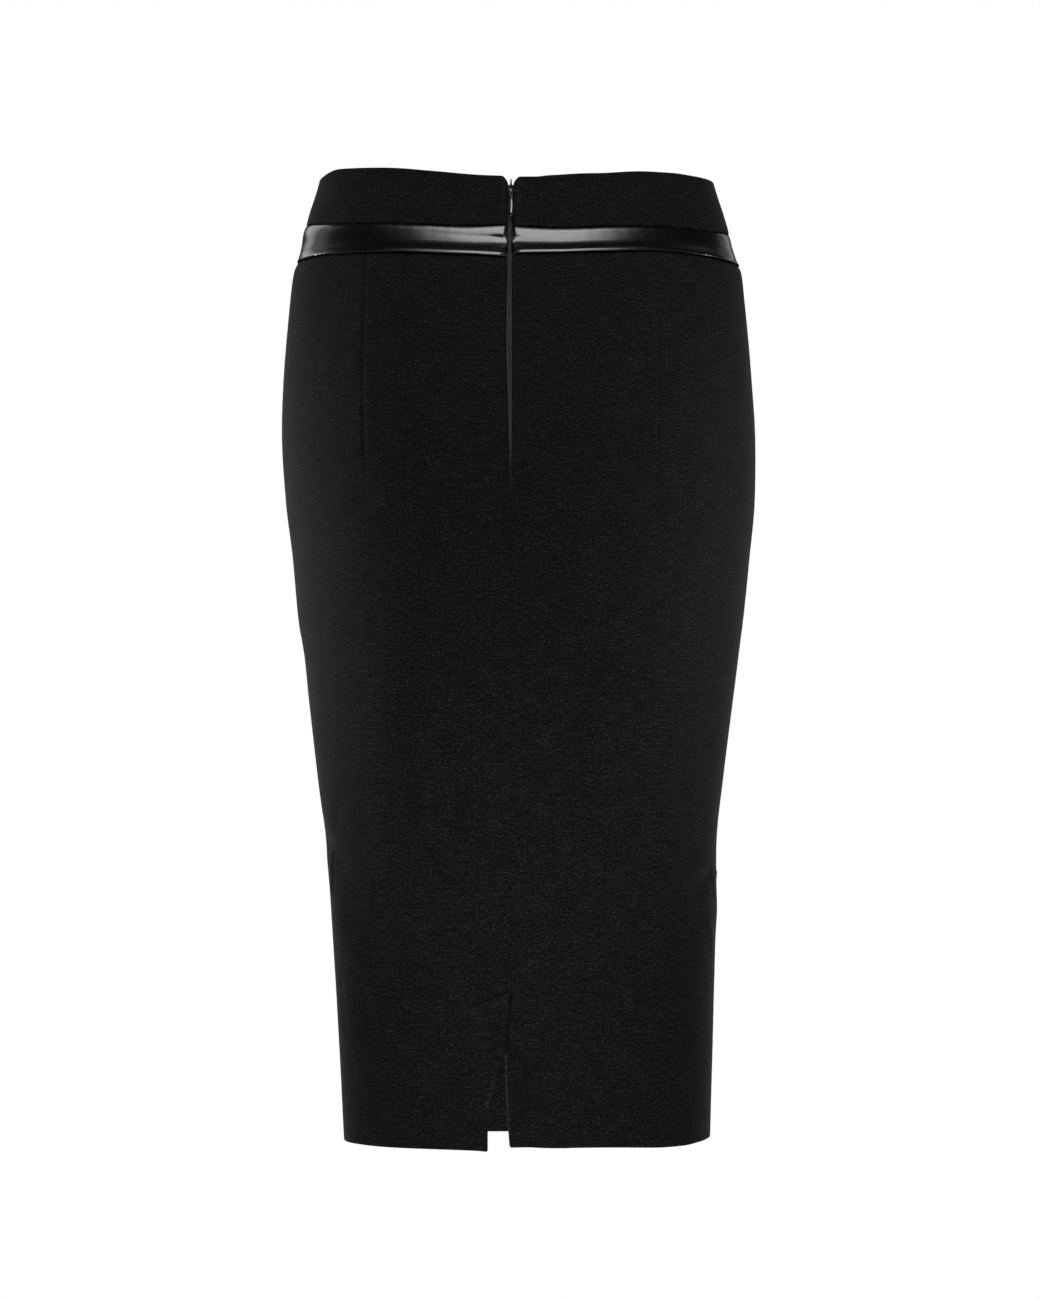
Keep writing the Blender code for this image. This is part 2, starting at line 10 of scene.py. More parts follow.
import bmesh
import bpy
import numpy as np
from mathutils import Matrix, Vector


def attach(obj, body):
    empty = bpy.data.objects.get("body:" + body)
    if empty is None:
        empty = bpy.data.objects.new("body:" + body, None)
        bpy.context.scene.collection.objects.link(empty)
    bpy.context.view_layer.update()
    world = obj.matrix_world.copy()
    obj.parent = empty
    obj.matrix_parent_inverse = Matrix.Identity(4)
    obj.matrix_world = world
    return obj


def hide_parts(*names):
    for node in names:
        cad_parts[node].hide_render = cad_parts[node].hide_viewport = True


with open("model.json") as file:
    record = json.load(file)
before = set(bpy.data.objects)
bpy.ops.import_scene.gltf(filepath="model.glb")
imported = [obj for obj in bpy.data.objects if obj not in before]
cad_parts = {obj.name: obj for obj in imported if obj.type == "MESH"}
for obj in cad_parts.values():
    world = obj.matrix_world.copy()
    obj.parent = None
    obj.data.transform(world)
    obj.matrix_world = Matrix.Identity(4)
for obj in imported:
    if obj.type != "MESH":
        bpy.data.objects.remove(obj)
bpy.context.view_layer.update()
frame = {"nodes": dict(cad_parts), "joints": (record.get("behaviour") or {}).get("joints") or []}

bl_info = {
    "name": "Pencil Skirt",
    "version": (1, 0, 0),
    "blender": (4, 5, 0),
    "location": "View3D > Sidebar > Skirt",
    "description": "Dresses a pencil skirt: knit panels, coated band, invisible zip and stitching",
    "category": "Object",
}

MM = 0.001

# Walls and seams, in millimetres.
PANEL_WALL = 1.5
YOKE_WALL = 1.9
BAND_WALL = 1.3
SEAM_GAP = 0.3
NOTCH_WIDTH = 5.0
NOTCH_DEPTH = 6.0
NOTCH_CURVE = 1.6
ZIP_OPENING = 1.3
DART_X = 104.0
DART_LEAN = 2.0
DART_HEAD_Z = -54.0
DART_END_Z = -228.0
# One layer of knit, and how high its hem is turned up on the back and on the front.
KNIT_LAYER = 0.55
BACK_HEM = 39.0
FRONT_HEM = 47.0
# How much paler than its face the knit is made: on its wrong side, partly the knit's own paler reverse and
# partly painted light for the light that reaches the inside; and on the vent's edges, a painted highlight.
WRONG_SIDE_AND_PAINTED_LIGHT = 1.25
EDGE_HIGHLIGHT_PAINT = 5.5
# Steps of a wall's rounded rim, and of the two searches that settle by repetition.
RIM_STEPS = 4
TURN_STEPS = 12
SETTLE_STEPS = 4

# The form, section by section: half_width from the middle of the section to a side seam, middle_x
# where that middle lies, and roundness the exponent of the outline (2 is an ellipse).
SECTION_COLUMNS = ("z", "half_width", "middle_x", "back", "front", "roundness")
SECTIONS = (
    (15, 141.5, 3.4, 94.0, 97.0, 2.20),
    (0, 144.6, 4.0, 96.0, 98.5, 2.20),
    (-25, 152.4, 4.0, 99.5, 101.5, 2.20),
    (-36, 155.4, 4.1, 101.2, 102.8, 2.21),
    (-45, 156.5, 4.4, 102.6, 103.9, 2.23),
    (-54, 159.1, 4.5, 104.0, 105.0, 2.25),
    (-64, 163.3, 4.9, 106.5, 106.5, 2.25),
    (-84, 165.7, 4.7, 109.5, 108.5, 2.30),
    (-142, 170.8, 4.8, 118.0, 112.5, 2.35),
    (-186, 172.8, 5.5, 122.0, 113.0, 2.35),
    (-230, 171.2, 6.8, 121.5, 112.0, 2.35),
    (-273, 166.6, 7.5, 118.5, 110.5, 2.35),
    (-317, 162.3, 7.2, 115.5, 109.0, 2.35),
    (-344, 158.3, 7.7, 113.8, 108.3, 2.35),
    (-375, 154.8, 7.2, 112.0, 107.5, 2.35),
    (-434, 147.8, 6.9, 110.0, 106.5, 2.35),
    (-478, 142.8, 7.4, 109.0, 106.0, 2.30),
    (-521, 140.8, 9.1, 108.5, 106.0, 2.30),
    (-609, 137.0, 10.6, 108.0, 106.0, 2.30),
    (-700, 133.5, 11.8, 108.0, 106.0, 2.30),
)

# Heights of the waist edge and of the hem, by turn in degrees.
EDGE_COLUMNS = ("turn", "waist", "hem")
EDGES = (
    (-180, -3.0, -697.0),
    (-135, 0.0, -697.0),
    (-90, 3.2, -696.0),
    (-82, 5.2, -696.2),
    (-70, 9.5, -696.4),
    (-53, 8.8, -697.0),
    (-35, 5.6, -697.2),
    (-19, 2.7, -697.8),
    (-14, 2.1, -698.6),
    (-6, 1.6, -695.4),
    (0, 1.0, -695.2),
    (8, 1.0, -695.8),
    (14, 2.0, -695.9),
    (19, 2.5, -695.7),
    (27, 3.5, -695.7),
    (35, 4.0, -696.0),
    (51, 6.0, -697.0),
    (61, 5.7, -696.6),
    (69, 4.5, -695.3),
    (90, 1.8, -693.2),
    (135, -1.0, -696.0),
    (180, -3.0, -697.0),
)

# Heights of the band's two seams, by turn in degrees.
BAND_COLUMNS = ("turn", "top", "foot")
BAND = (
    (-180, -41.0, -63.5),
    (-135, -38.0, -60.5),
    (-90, -29.8, -57.0),
    (-79, -30.0, -55.6),
    (-68, -30.6, -53.6),
    (-60, -31.2, -53.2),
    (-45, -32.5, -52.9),
    (-35, -33.3, -53.8),
    (-26, -34.3, -54.8),
    (-18, -34.8, -55.5),
    (-3.4, -34.2, -57.0),
    (-1, -34.9, -55.0),
    (8, -35.8, -54.5),
    (17, -36.2, -54.2),
    (27, -35.6, -53.4),
    (36, -34.7, -52.8),
    (48, -34.4, -51.8),
    (54, -34.5, -52.2),
    (60, -34.6, -53.4),
    (64, -35.3, -54.5),
    (69, -35.9, -55.7),
    (75, -36.3, -57.4),
    (80, -36.5, -58.4),
    (90, -37.0, -59.7),
    (135, -39.5, -61.5),
    (180, -41.0, -63.5),
)

# The two edges that meet at the centre back, across X.
CENTRE_BACK_COLUMNS = ("z", "left_edge", "right_edge")
CENTRE_BACK = (
    (15, -1.3, 1.3),
    (-8, -1.4, 1.4),
    (-20, -1.8, 1.2),
    (-33, -2.1, 0.6),
    (-61, -2.4, 0.5),
    (-90, -2.9, 0.6),
    (-117, -3.1, 0.7),
    (-140, -2.7, 0.7),
    (-160, -2.0, 0.7),
    (-190, -1.2, 0.5),
    (-205, -0.6, 0.2),
    (-221, -0.15, 0.15),
    (-572, -0.15, 0.15),
    (-588, -1.9, -1.4),
    (-600, -2.7, -2.1),
    (-612, -3.8, -3.2),
    (-622, -4.9, -4.2),
    (-629, -5.9, -4.3),
    (-636, -7.8, -4.2),
    (-643, -10.8, -4.0),
    (-650, -12.2, -3.8),
    (-657, -13.8, -3.5),
    (-664, -15.9, -3.1),
    (-673, -16.4, -2.6),
    (-684, -16.5, -1.8),
    (-705, -16.6, -0.1),
)

# Soft folds that the solids have too: ends as x and z, on the back or on the front.
FOLD_COLUMNS = ("x1", "z1", "x2", "z2", "width", "height")
BACK_FOLDS = (
    (30, -560, 104, -655, 13, 1.5),
    (66, -560, 126, -625, 13, -1.3),
    (6, -618, 48, -676, 11, -1.6),
    (24, -600, 78, -676, 12, 1.2),
    (-34, -588, -112, -652, 14, 1.5),
    (-66, -560, -100, -612, 14, -1.4),
    (-14, -606, -60, -664, 12, -1.2),
    (146, -500, 132, -514, 6, -2.2),
    (150, -524, 134, -556, 14, 0.9),
    (-142, -470, -118, -494, 10, -1.8),
    (-128, -520, -108, -566, 13, 0.9),
    (-112, -524, -100, -548, 12, -1.4),
    (-36, -330, -40, -500, 22, -1.6),
    (40, -330, 42, -500, 24, -1.8),
    (-96, -340, -92, -470, 34, 1.6),
    (98, -320, 94, -460, 34, 1.4),
    (119, -200, 127, -236, 4, -1.3),
    (-84, -2, -30, -20, 12, -1.2),
    (-126, -4, -92, -28, 12, 1.0),
    (40, -16, 92, -6, 12, -1.0),
    (86, -28, 122, -6, 11, 1.0),
)
FRONT_FOLDS = (
    (-132, -150, -52, -176, 12, -1.2),
    (134, -158, 60, -180, 12, -1.0),
    (-118, -196, -64, -212, 14, 0.9),
    (10, -300, 12, -520, 26, -1.8),
    (-84, -300, -82, -470, 34, 1.5),
    (92, -310, 90, -480, 34, 1.4),
    (-128, -512, -84, -540, 12, -1.4),
    (136, -520, 96, -552, 12, -1.2),
    (-70, -560, -58, -680, 16, 1.2),
    (74, -570, 88, -684, 16, 1.1),
    (-96, -8, -40, -26, 12, -1.0),
    (52, -22, 108, -8, 12, -0.9),
)
# Finer creases that only the cloth here has, with the same columns.
BACK_CREASES = (
    (-92, -62, -64, -78, 5, -0.35),
    (82, -62, 60, -76, 5, -0.30),
    (84, -78, 86, -128, 5, 0.35),
    (-16, -564, -40, -582, 6, 0.50),
    (8, -566, 34, -590, 6, 0.45),
    (-44, -604, -78, -640, 6, -0.45),
    (58, -606, 88, -644, 6, 0.40),
    (-20, -640, -34, -690, 7, 0.50),
    (18, -648, 30, -690, 8, 0.45),
    (120, -556, 128, -600, 6, -0.40),
    (-124, -572, -118, -628, 6, -0.40),
    (-120, -440, -128, -470, 5, -0.60),
    (150, -500, 146.4, -509, 1.6, 0.7),
    (146.6, -510, 147.2, -520, 1.6, -0.9),
    (142, -532, 146, -562, 4, 0.9),
    (-131, -481, -129, -520, 2.5, 1.0),
)
FRONT_CREASES = (
    (-104, -64, -70, -82, 6, -0.35),
    (110, -66, 78, -84, 6, -0.35),
    (-50, -168, 40, -172, 8, -0.40),
    (-40, -236, 52, -240, 9, 0.35),
    (-112, -548, -84, -572, 6, 0.45),
    (118, -560, 92, -588, 6, -0.45),
    (-20, -600, -14, -688, 9, 0.40),
    (30, -610, 36, -690, 9, -0.35),
)
# Millimetres of cloth in a degree of turn, for measuring how far a point lies from a fold.
DEGREE = 2.0
FOLD_FULL = (0.15, 0.85)

# The band's swell: lift of its face, in millimetres, down its height from seam to seam. Its upper
# half leans back to the light, its lower half faces level, and a lip stands over the lower seam.
SWELL_COLUMNS = ("share", "lift")
SWELL = (
    (0.00, -1.60),
    (0.035, -1.00),
    (0.07, -0.40),
    (0.11, 0.02),
    (0.20, 0.52),
    (0.30, 0.93),
    (0.42, 1.34),
    (0.52, 1.60),
    (0.60, 1.74),
    (0.67, 1.72),
    (0.75, 1.54),
    (0.82, 1.32),
    (0.88, 1.22),
    (0.924, 1.22),
    (0.938, 1.35),
    (0.953, 1.60),
    (0.965, 1.64),
    (0.98, 1.42),
    (1.00, 0.30),
)
BAND_HEIGHT = 20
# How deep the band's ends are turned in at the zip, and how far from it they begin to, down the
# band's height.
BAND_END_SINK = 2.0
# How far the band's lower lip drops at the zip, as a share of its height, and how far along it.
LIP_DROP = 0.085
LIP_DROP_REACH = 4.5
END_TURN_COLUMNS = ("share", "reach")
END_TURN = (
    (0.00, 1.3),
    (0.34, 1.3),
    (0.45, 0.4),
    (0.62, 0.3),
    (0.75, 0.5),
    (1.00, 0.7),
)
# Small creases of the band beside the zip: from x1 to x2, at shares of the band's height.
BAND_CREASE_COLUMNS = ("x1", "share1", "x2", "share2", "width", "height")
BAND_CREASES = (
    (0.5, 0.45, -12, 0.40, 1.6, -0.72),
    (-7, 0.40, -60, 0.29, 1.8, -0.33),
    (1.5, 0.42, 7, 0.40, 1.0, -0.50),
    (-2, 0.72, -16, 0.86, 1.2, 0.22),
    (3, 0.78, 9, 0.86, 1.2, 0.20),
)


def curve_of(rows, columns, key, name):
    """One column of a table as a smooth function of its key column that never overshoots its rows."""
    table = np.array(sorted(rows), float)
    x = table[:, columns.index(key)]
    y = table[:, columns.index(name)]
    step = np.diff(x)
    slope = np.diff(y) / step
    before, after = slope[:-1], slope[1:]
    total = before + after
    same_way = before * after > 0
    inner = np.where(same_way, 2 * before * after / np.where(same_way, total, 1), 0)
    tangent = np.concatenate([slope[:1], inner, slope[-1:]])

    def at(value):
        value = np.clip(value, x[0], x[-1])
        i = np.clip(np.searchsorted(x, value) - 1, 0, len(step) - 1)
        t = (value - x[i]) / step[i]
        rise = y[i + 1] - y[i]
        start, end = tangent[i] * step[i], tangent[i + 1] * step[i]
        return y[i] + t * start + t * t * (3 * rise - 2 * start - end) + t**3 * (start + end - 2 * rise)

    return at


section = {name: curve_of(SECTIONS, SECTION_COLUMNS, "z", name) for name in SECTION_COLUMNS[1:]}
edge_height = {name: curve_of(EDGES, EDGE_COLUMNS, "turn", name) for name in EDGE_COLUMNS[1:]}
centre_back = {
    name: curve_of(CENTRE_BACK, CENTRE_BACK_COLUMNS, "z", name) for name in CENTRE_BACK_COLUMNS[1:]
}
band_height = {name: curve_of(BAND, BAND_COLUMNS, "turn", name) for name in BAND_COLUMNS[1:]}
swell = curve_of(SWELL, SWELL_COLUMNS, "share", "lift")
end_turn = curve_of(END_TURN, END_TURN_COLUMNS, "share", "reach")


def wrapped(turn):
    """A turn brought into -180 to 180 degrees."""
    return (turn + 180.0) % 360.0 - 180.0


def radius(turn, z):
    """Distance from the middle of the section to its smooth outline."""
    a = np.radians(turn)
    power = section["roundness"](z)
    depth = np.where(np.cos(a) > 0, section["back"](z), section["front"](z))
    across = np.abs(np.sin(a) / section["half_width"](z)) ** power
    along = np.abs(np.cos(a) / depth) ** power
    return (across + along) ** (-1 / power)


def turn_at_x(x, z, front=False):
    """The turn at which the section at height z crosses x, on the back or on the front."""
    turn = np.full(np.broadcast(x, z).shape, 180.0 if front else 0.0)
    for _ in range(TURN_STEPS):
        reach = np.clip((x - section["middle_x"](z)) / radius(turn, z), -0.999, 0.999)
        turn = np.degrees(np.arcsin(reach))
        if front:
            turn = 180 - turn
    return turn


def fold_lines(back, front):
    """Each fold as its start, its run to the far end (both as turn and z), its width and height."""
    lines = []
    for rows, on_front in ((back, False), (front, True)):
        for row in rows:
            fold = dict(zip(FOLD_COLUMNS, row))
            start = turn_at_x(fold["x1"], fold["z1"], on_front), fold["z1"]
            end = turn_at_x(fold["x2"], fold["z2"], on_front), fold["z2"]
            run = (end[0] - start[0]) * DEGREE, end[1] - start[1]
            lines.append((start, run, fold["width"], fold["height"]))
    return lines


FOLD_LINES = fold_lines(BACK_FOLDS, FRONT_FOLDS)
CREASE_LINES = fold_lines(BACK_CREASES, FRONT_CREASES)


def from_line(across, down, run, ends):
    """How far points lie from a line's run, and the share of the run, within ends, nearest to them."""
    nearest = np.clip((across * run[0] + down * run[1]) / (run[0] ** 2 + run[1] ** 2), *ends)
    return np.hypot(across - nearest * run[0], down - nearest * run[1]), nearest


def lift_of(lines, turn, z):
    """How far folds lift the cloth at a point, in millimetres."""
    lift = np.zeros(np.broadcast(turn, z).shape)
    for start, run, width, height in lines:
        away, _ = from_line(wrapped(turn - start[0]) * DEGREE, z - start[1], run, FOLD_FULL)
        lift += height * bell(away, width)
    return lift


def cloth_point(turn, z):
    """A point of the solids' outer face, folds and all, in millimetres."""
    a = np.radians(turn)
    r = radius(turn, z) + lift_of(FOLD_LINES, turn, z)
    return np.stack([section["middle_x"](z) + r * np.sin(a), -r * np.cos(a), z + 0 * r], axis=-1)


def normal_at(turn, z):
    """The cloth's outward direction at a point."""
    small_turn, small_z = 0.05, 0.5
    sideways = cloth_point(turn + small_turn, z) - cloth_point(turn - small_turn, z)
    upwards = cloth_point(turn, z + small_z) - cloth_point(turn, z - small_z)
    across = np.cross(sideways, upwards)
    return across / np.linalg.norm(across, axis=-1, keepdims=True)


def smooth_step(low, high, value):
    t = np.clip((value - low) / (high - low), 0, 1)
    return t * t * (3 - 2 * t)


def bell(away, width):
    """1 on a line, fading on both sides to about a third at width."""
    return np.exp(-((away / width) ** 2))


def unevenness(turn, z):
    """The slight, irregular swell of cloth that has been worn, about a tenth of a millimetre."""
    u, v = turn * DEGREE, z
    swell_sum = np.sin(u / 23 + 1.3 * np.sin(v / 61)) * np.sin(v / 37 + 0.9 * np.sin(u / 47))
    swell_sum += 0.6 * np.sin(u / 11 + v / 29 + 1.7) * np.sin(v / 17 - u / 31)
    return 0.11 * swell_sum


def worn_lift(turn, z):
    """What wearing has done to the cloth: its small creases and its unevenness."""
    return lift_of(CREASE_LINES, turn, z) + unevenness(turn, z)


def side_name(side):
    return "right" if side > 0 else "left"


# ---------------------------------------------------------------------------------------------
# Grids of turns and heights


def stations(length, pitch, close=(0.8, 2.0, 4.0)):
    """Distances along a length, evenly pitched but closer at both ends."""
    steps = max(1, round((length - 2 * close[-1]) / pitch))
    inner = np.linspace(close[-1], length - close[-1], steps + 1)
    ends = np.array((0.0,) + tuple(close[:-1]))
    return np.concatenate([ends, inner, length - ends[::-1]])


def run_of_shares(runs):
    """Shares of a whole length made of runs, each given as its length and pitch."""
    places, base = [np.zeros(1)], 0.0
    for length, pitch in runs:
        places.append(base + stations(length, pitch)[1:])
        base += length
    return np.concatenate(places) / base


def seam_x(side, z):
    """Where a back piece's edge at the centre back lies."""
    return centre_back["right_edge" if side > 0 else "left_edge"](z)


def side_seam_turn(side, z, inset):
    """The turn of a back piece's edge at its side seam, inset by millimetres."""
    return side * (90 - np.degrees((SEAM_GAP / 2 + inset) / section["half_width"](z)))


def back_turns(side, z_rows, stops, inset):
    """Turns of a back piece's columns, from the centre back to the side seam by way of stops.

    Each stop is a function that gives x from z, or None for the side seam, then the length of cloth
    up to it and the pitch of the columns there.
    """
    start = turn_at_x(seam_x(side, z_rows) + side * inset, z_rows)
    lines = [start[:, None]]
    for x_at, length, pitch in stops:
        if x_at is None:
            end = side_seam_turn(side, z_rows, inset)
        else:
            end = turn_at_x(x_at(z_rows), z_rows)
        share = stations(length, pitch)[1:] / length
        lines.append(start[:, None] * (1 - share) + end[:, None] * share)
        start = end
    return np.concatenate(lines, axis=1)


def front_turns(z_rows, length, pitch, inset):
    """Turns of a front piece's columns, from the right side seam round to the left."""
    past = np.degrees((SEAM_GAP / 2 + inset) / section["half_width"](z_rows))[:, None]
    share = stations(length, pitch) / length
    return (90 + past) * (1 - share) + (270 - past) * share


def settled(turns_at, top, bottom, shares):
    """Turns and heights of a piece's grid. Each depends on the other, so they are settled in turn."""
    z_rows = SECTIONS[-1][0] * shares
    for _ in range(SETTLE_STEPS):
        turns = turns_at(z_rows)
        high, low = top(turns), bottom(turns)
        z = high + (low - high) * shares[:, None]
        z_rows = z[:, 0]
    return turns, z


def waist_edge(turn):
    """Height of the waist edge, cut away beside the zip."""
    level = edge_height["waist"](wrapped(turn))
    x = np.abs(cloth_point(turn, level)[..., 0])
    on_back = np.cos(np.radians(turn)) > 0
    share = np.clip(1 - (x - ZIP_OPENING) / NOTCH_WIDTH, 0, 1)
    return level - NOTCH_DEPTH * np.where(on_back, share**NOTCH_CURVE, 0)


def band_top(turn):
    return band_height["top"](wrapped(turn))


def band_foot(turn):
    return band_height["foot"](wrapped(turn))


def gap_middle(z):
    """Where the middle of the zip's opening lies."""
    return (centre_back["left_edge"](z) + centre_back["right_edge"](z)) / 2


def hem_edge(turn):
    return edge_height["hem"](wrapped(turn))


def moved(edge, by):
    """An edge's height function, moved up by millimetres."""
    return lambda turn: edge(turn) + by


def dart_line(z):
    """Distance of a back dart from the centre back: it leans out by a little at mid length."""
    share = np.clip((z - DART_END_Z) / (DART_HEAD_Z - DART_END_Z), 0, 1)
    return DART_X + DART_LEAN * np.sin(np.pi * share)


# ---------------------------------------------------------------------------------------------
# Meshes


def rim_of(rows, columns):
    """The grid's border as row and column numbers, in one loop, and the way out of each."""
    top = [(0, j, 1, j) for j in range(columns)]
    right = [(i, columns - 1, i, columns - 2) for i in range(1, rows)]
    bottom = [(rows - 1, j, rows - 2, j) for j in range(columns - 2, -1, -1)]
    left = [(i, 0, i, 1) for i in range(rows - 2, 0, -1)]
    return np.array(top + right + bottom + left)


def shell_mesh(name, outer, inner, flat, pale):
    """A closed wall with rounded rims between two grids of points in millimetres.

    flat holds the cloth's own flat coordinates at each point, in millimetres, for its UV map, and
    pale how much paler than its face the cloth is there.
    """
    rows, columns = outer.shape[:2]
    index = np.arange(rows * columns).reshape(rows, columns)
    back = index + rows * columns
    quads = [
        np.stack([index[:-1, :-1], index[1:, :-1], index[1:, 1:], index[:-1, 1:]], -1),
        np.stack([back[:-1, 1:], back[1:, 1:], back[1:, :-1], back[:-1, :-1]], -1),
    ]
    rim = rim_of(rows, columns)
    at, inside = (rim[:, 0], rim[:, 1]), (rim[:, 2], rim[:, 3])
    away = outer[at] - outer[inside]
    across = outer[at] - inner[at]
    half = np.linalg.norm(across, axis=1, keepdims=True) / 2
    facing = across / (2 * half)
    away -= facing * np.sum(away * facing, axis=1, keepdims=True)
    away /= np.linalg.norm(away, axis=1, keepdims=True)
    middle = (outer[at] + inner[at]) / 2
    points = [outer.reshape(-1, 3), inner.reshape(-1, 3)]
    loops = [index[at]]
    count = 2 * rows * columns
    for k in range(1, RIM_STEPS):
        angle = math.pi * k / RIM_STEPS
        points.append(middle + half * (math.cos(angle) * facing + math.sin(angle) * away))
        loops.append(count + np.arange(len(rim)))
        count += len(rim)
    loops.append(back[at])
    for near, far in zip(loops, loops[1:]):
        quads.append(np.stack([near, np.roll(near, -1), np.roll(far, -1), far], -1))
    uv = [flat.reshape(-1, 2), flat.reshape(-1, 2)] + [flat[at]] * (RIM_STEPS - 1)
    faces = np.concatenate([q.reshape(-1, 4) for q in quads])
    mesh = bpy.data.meshes.new(name)
    mesh.from_pydata((np.concatenate(points) * MM).tolist(), [], faces.tolist())
    layer = mesh.uv_layers.new(name="cloth")
    corners = np.concatenate(uv)[faces.ravel()] * MM
    layer.data.foreach_set("uv", corners.ravel())
    # The inside face is made paler: partly the knit's reverse, partly painted light for the light that
    # reaches the inside.
    shades = [pale.ravel(), np.full(pale.size, WRONG_SIDE_AND_PAINTED_LIGHT)] + [pale[at]] * (RIM_STEPS - 1)
    shade = mesh.attributes.new("pale", "FLOAT", "POINT")
    shade.data.foreach_set("value", np.concatenate(shades))
    mesh.shade_smooth()
    mesh.validate()
    return mesh


def flat_coordinates(points):
    """Distances over the cloth from the grid's first column, and heights, in millimetres."""
    steps = np.linalg.norm(np.diff(points, axis=1), axis=2)
    across = np.concatenate([np.zeros((len(points), 1)), np.cumsum(steps, axis=1)], axis=1)
    across -= across[:, -1:] / 2
    return np.stack([across, points[..., 2]], axis=-1)


def new_object(name, mesh, material=None):
    obj = bpy.data.objects.new(name, mesh)
    bpy.context.scene.collection.objects.link(obj)
    if material is not None:
        mesh.materials.clear()
        mesh.materials.append(material)
    return obj


def finish_piece(obj, body, nodes=()):
    """Rides a finished piece on its body, in place of the nodes that it stands for."""
    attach(obj, body)
    if nodes:
        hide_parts(*nodes)
    return obj


def cloth_piece(name, turns, z, lift, depth, material, node=None, pale=0.0):
    """A cloth wall on the solids' form, raised by lift, depth millimetres through.

    It stands for a node of the frame, if one is named.
    """
    normal = normal_at(turns, z)
    face = cloth_point(turns, z) + normal * lift[..., None]
    inside = face - normal * (depth + 0 * lift)[..., None]
    mesh = shell_mesh(name, face, inside, flat_coordinates(face), pale + 0 * lift)
    obj = new_object(name, mesh, material)
    finish_piece(obj, "skirt", (node,) if node else ())
    return obj


# ---------------------------------------------------------------------------------------------
# Materials


def linear(hex_colour):
    """An sRGB hex colour as the linear red, green, blue and alpha that Blender uses."""
    channels = [int(hex_colour[i : i + 2], 16) / 255 for i in (1, 3, 5)]
    return tuple(c / 12.92 if c <= 0.04045 else ((c + 0.055) / 1.055) ** 2.4 for c in channels) + (1,)


def add_node(tree, kind, links=(), **settings):
    """Adds a node; settings are its own values or input values, links are (input, output socket)."""
    node = tree.nodes.new(kind)
    inputs = settings.pop("inputs", {})
    for name, value in settings.items():
        setattr(node, name, value)
    for name, value in inputs.items():
        node.inputs[name].default_value = value
    for name, socket in links:
        tree.links.new(socket, node.inputs[name])
    return node


def new_material(name, **shader_values):
    """A material with only a Principled BSDF, its constant values set on the shader's sockets."""
    material = bpy.data.materials.new(name)
    material.use_nodes = True
    tree = material.node_tree
    shader = tree.nodes["Principled BSDF"]
    for socket, value in shader_values.items():
        shader.inputs[socket.replace("_", " ").title().replace("Ior", "IOR")].default_value = value
    return material, tree, shader


def ramp(tree, factor, stops):
    """A colour ramp over stops of (position, hex colour)."""
    node = add_node(tree, "ShaderNodeValToRGB", links=(("Fac", factor),))
    elements = node.color_ramp.elements
    while len(elements) < len(stops):
        elements.new(0.5)
    for element, (position, colour) in zip(elements, stops):
        element.position = position
        element.color = linear(colour)
    return node.outputs["Color"]


def stretched_noise(tree, coordinates, size_mm, stretch, detail, roughness):
    """Noise with blobs of about size_mm, drawn out along the courses of the knit by stretch."""
    per_metre = 1 / (size_mm * MM)
    scale = (per_metre / stretch, per_metre, per_metre)
    mapping = add_node(
        tree, "ShaderNodeMapping", links=(("Vector", coordinates),), inputs={"Scale": scale}
    )
    return add_node(
        tree,
        "ShaderNodeTexNoise",
        links=(("Vector", mapping.outputs["Vector"]),),
        inputs={"Scale": 1.0, "Detail": detail, "Roughness": roughness},
    ).outputs["Fac"]


def object_place(tree):
    return add_node(tree, "ShaderNodeTexCoord").outputs["Object"]


def fine_noise(tree, scale):
    """Even noise over the object, for finishes without a weave."""
    return add_node(
        tree,
        "ShaderNodeTexNoise",
        links=(("Vector", object_place(tree)),),
        inputs={"Scale": scale, "Detail": 2.0},
    ).outputs["Fac"]


def bands(tree, width_mm, direction, **inputs):
    """Waves over the object, each about width_mm wide."""
    inputs["Scale"] = 1 / (3.14 * width_mm * MM)
    return add_node(
        tree,
        "ShaderNodeTexWave",
        links=(("Vector", object_place(tree)),),
        wave_type="BANDS",
        bands_direction=direction,
        inputs=inputs,
    ).outputs["Fac"]


def uneven_gloss(tree, shader, factor, least, most):
    """Roughness between least and most by a noise's middle values."""
    span = add_node(
        tree,
        "ShaderNodeMapRange",
        links=(("Value", factor),),
        inputs={"From Min": 0.3, "From Max": 0.7, "To Min": least, "To Max": most},
    )
    tree.links.new(span.outputs["Result"], shader.inputs["Roughness"])


def raise_surface(tree, shader, *layers):
    """Bumps of (height, strength, distance in millimetres), each on top of the one before."""
    normal = ()
    for height, strength, distance in layers:
        bump = add_node(
            tree,
            "ShaderNodeBump",
            links=(("Height", height),) + normal,
            inputs={"Strength": strength, "Distance": distance * MM},
        )
        normal = (("Normal", bump.outputs["Normal"]),)
    tree.links.new(bump.outputs["Normal"], shader.inputs["Normal"])


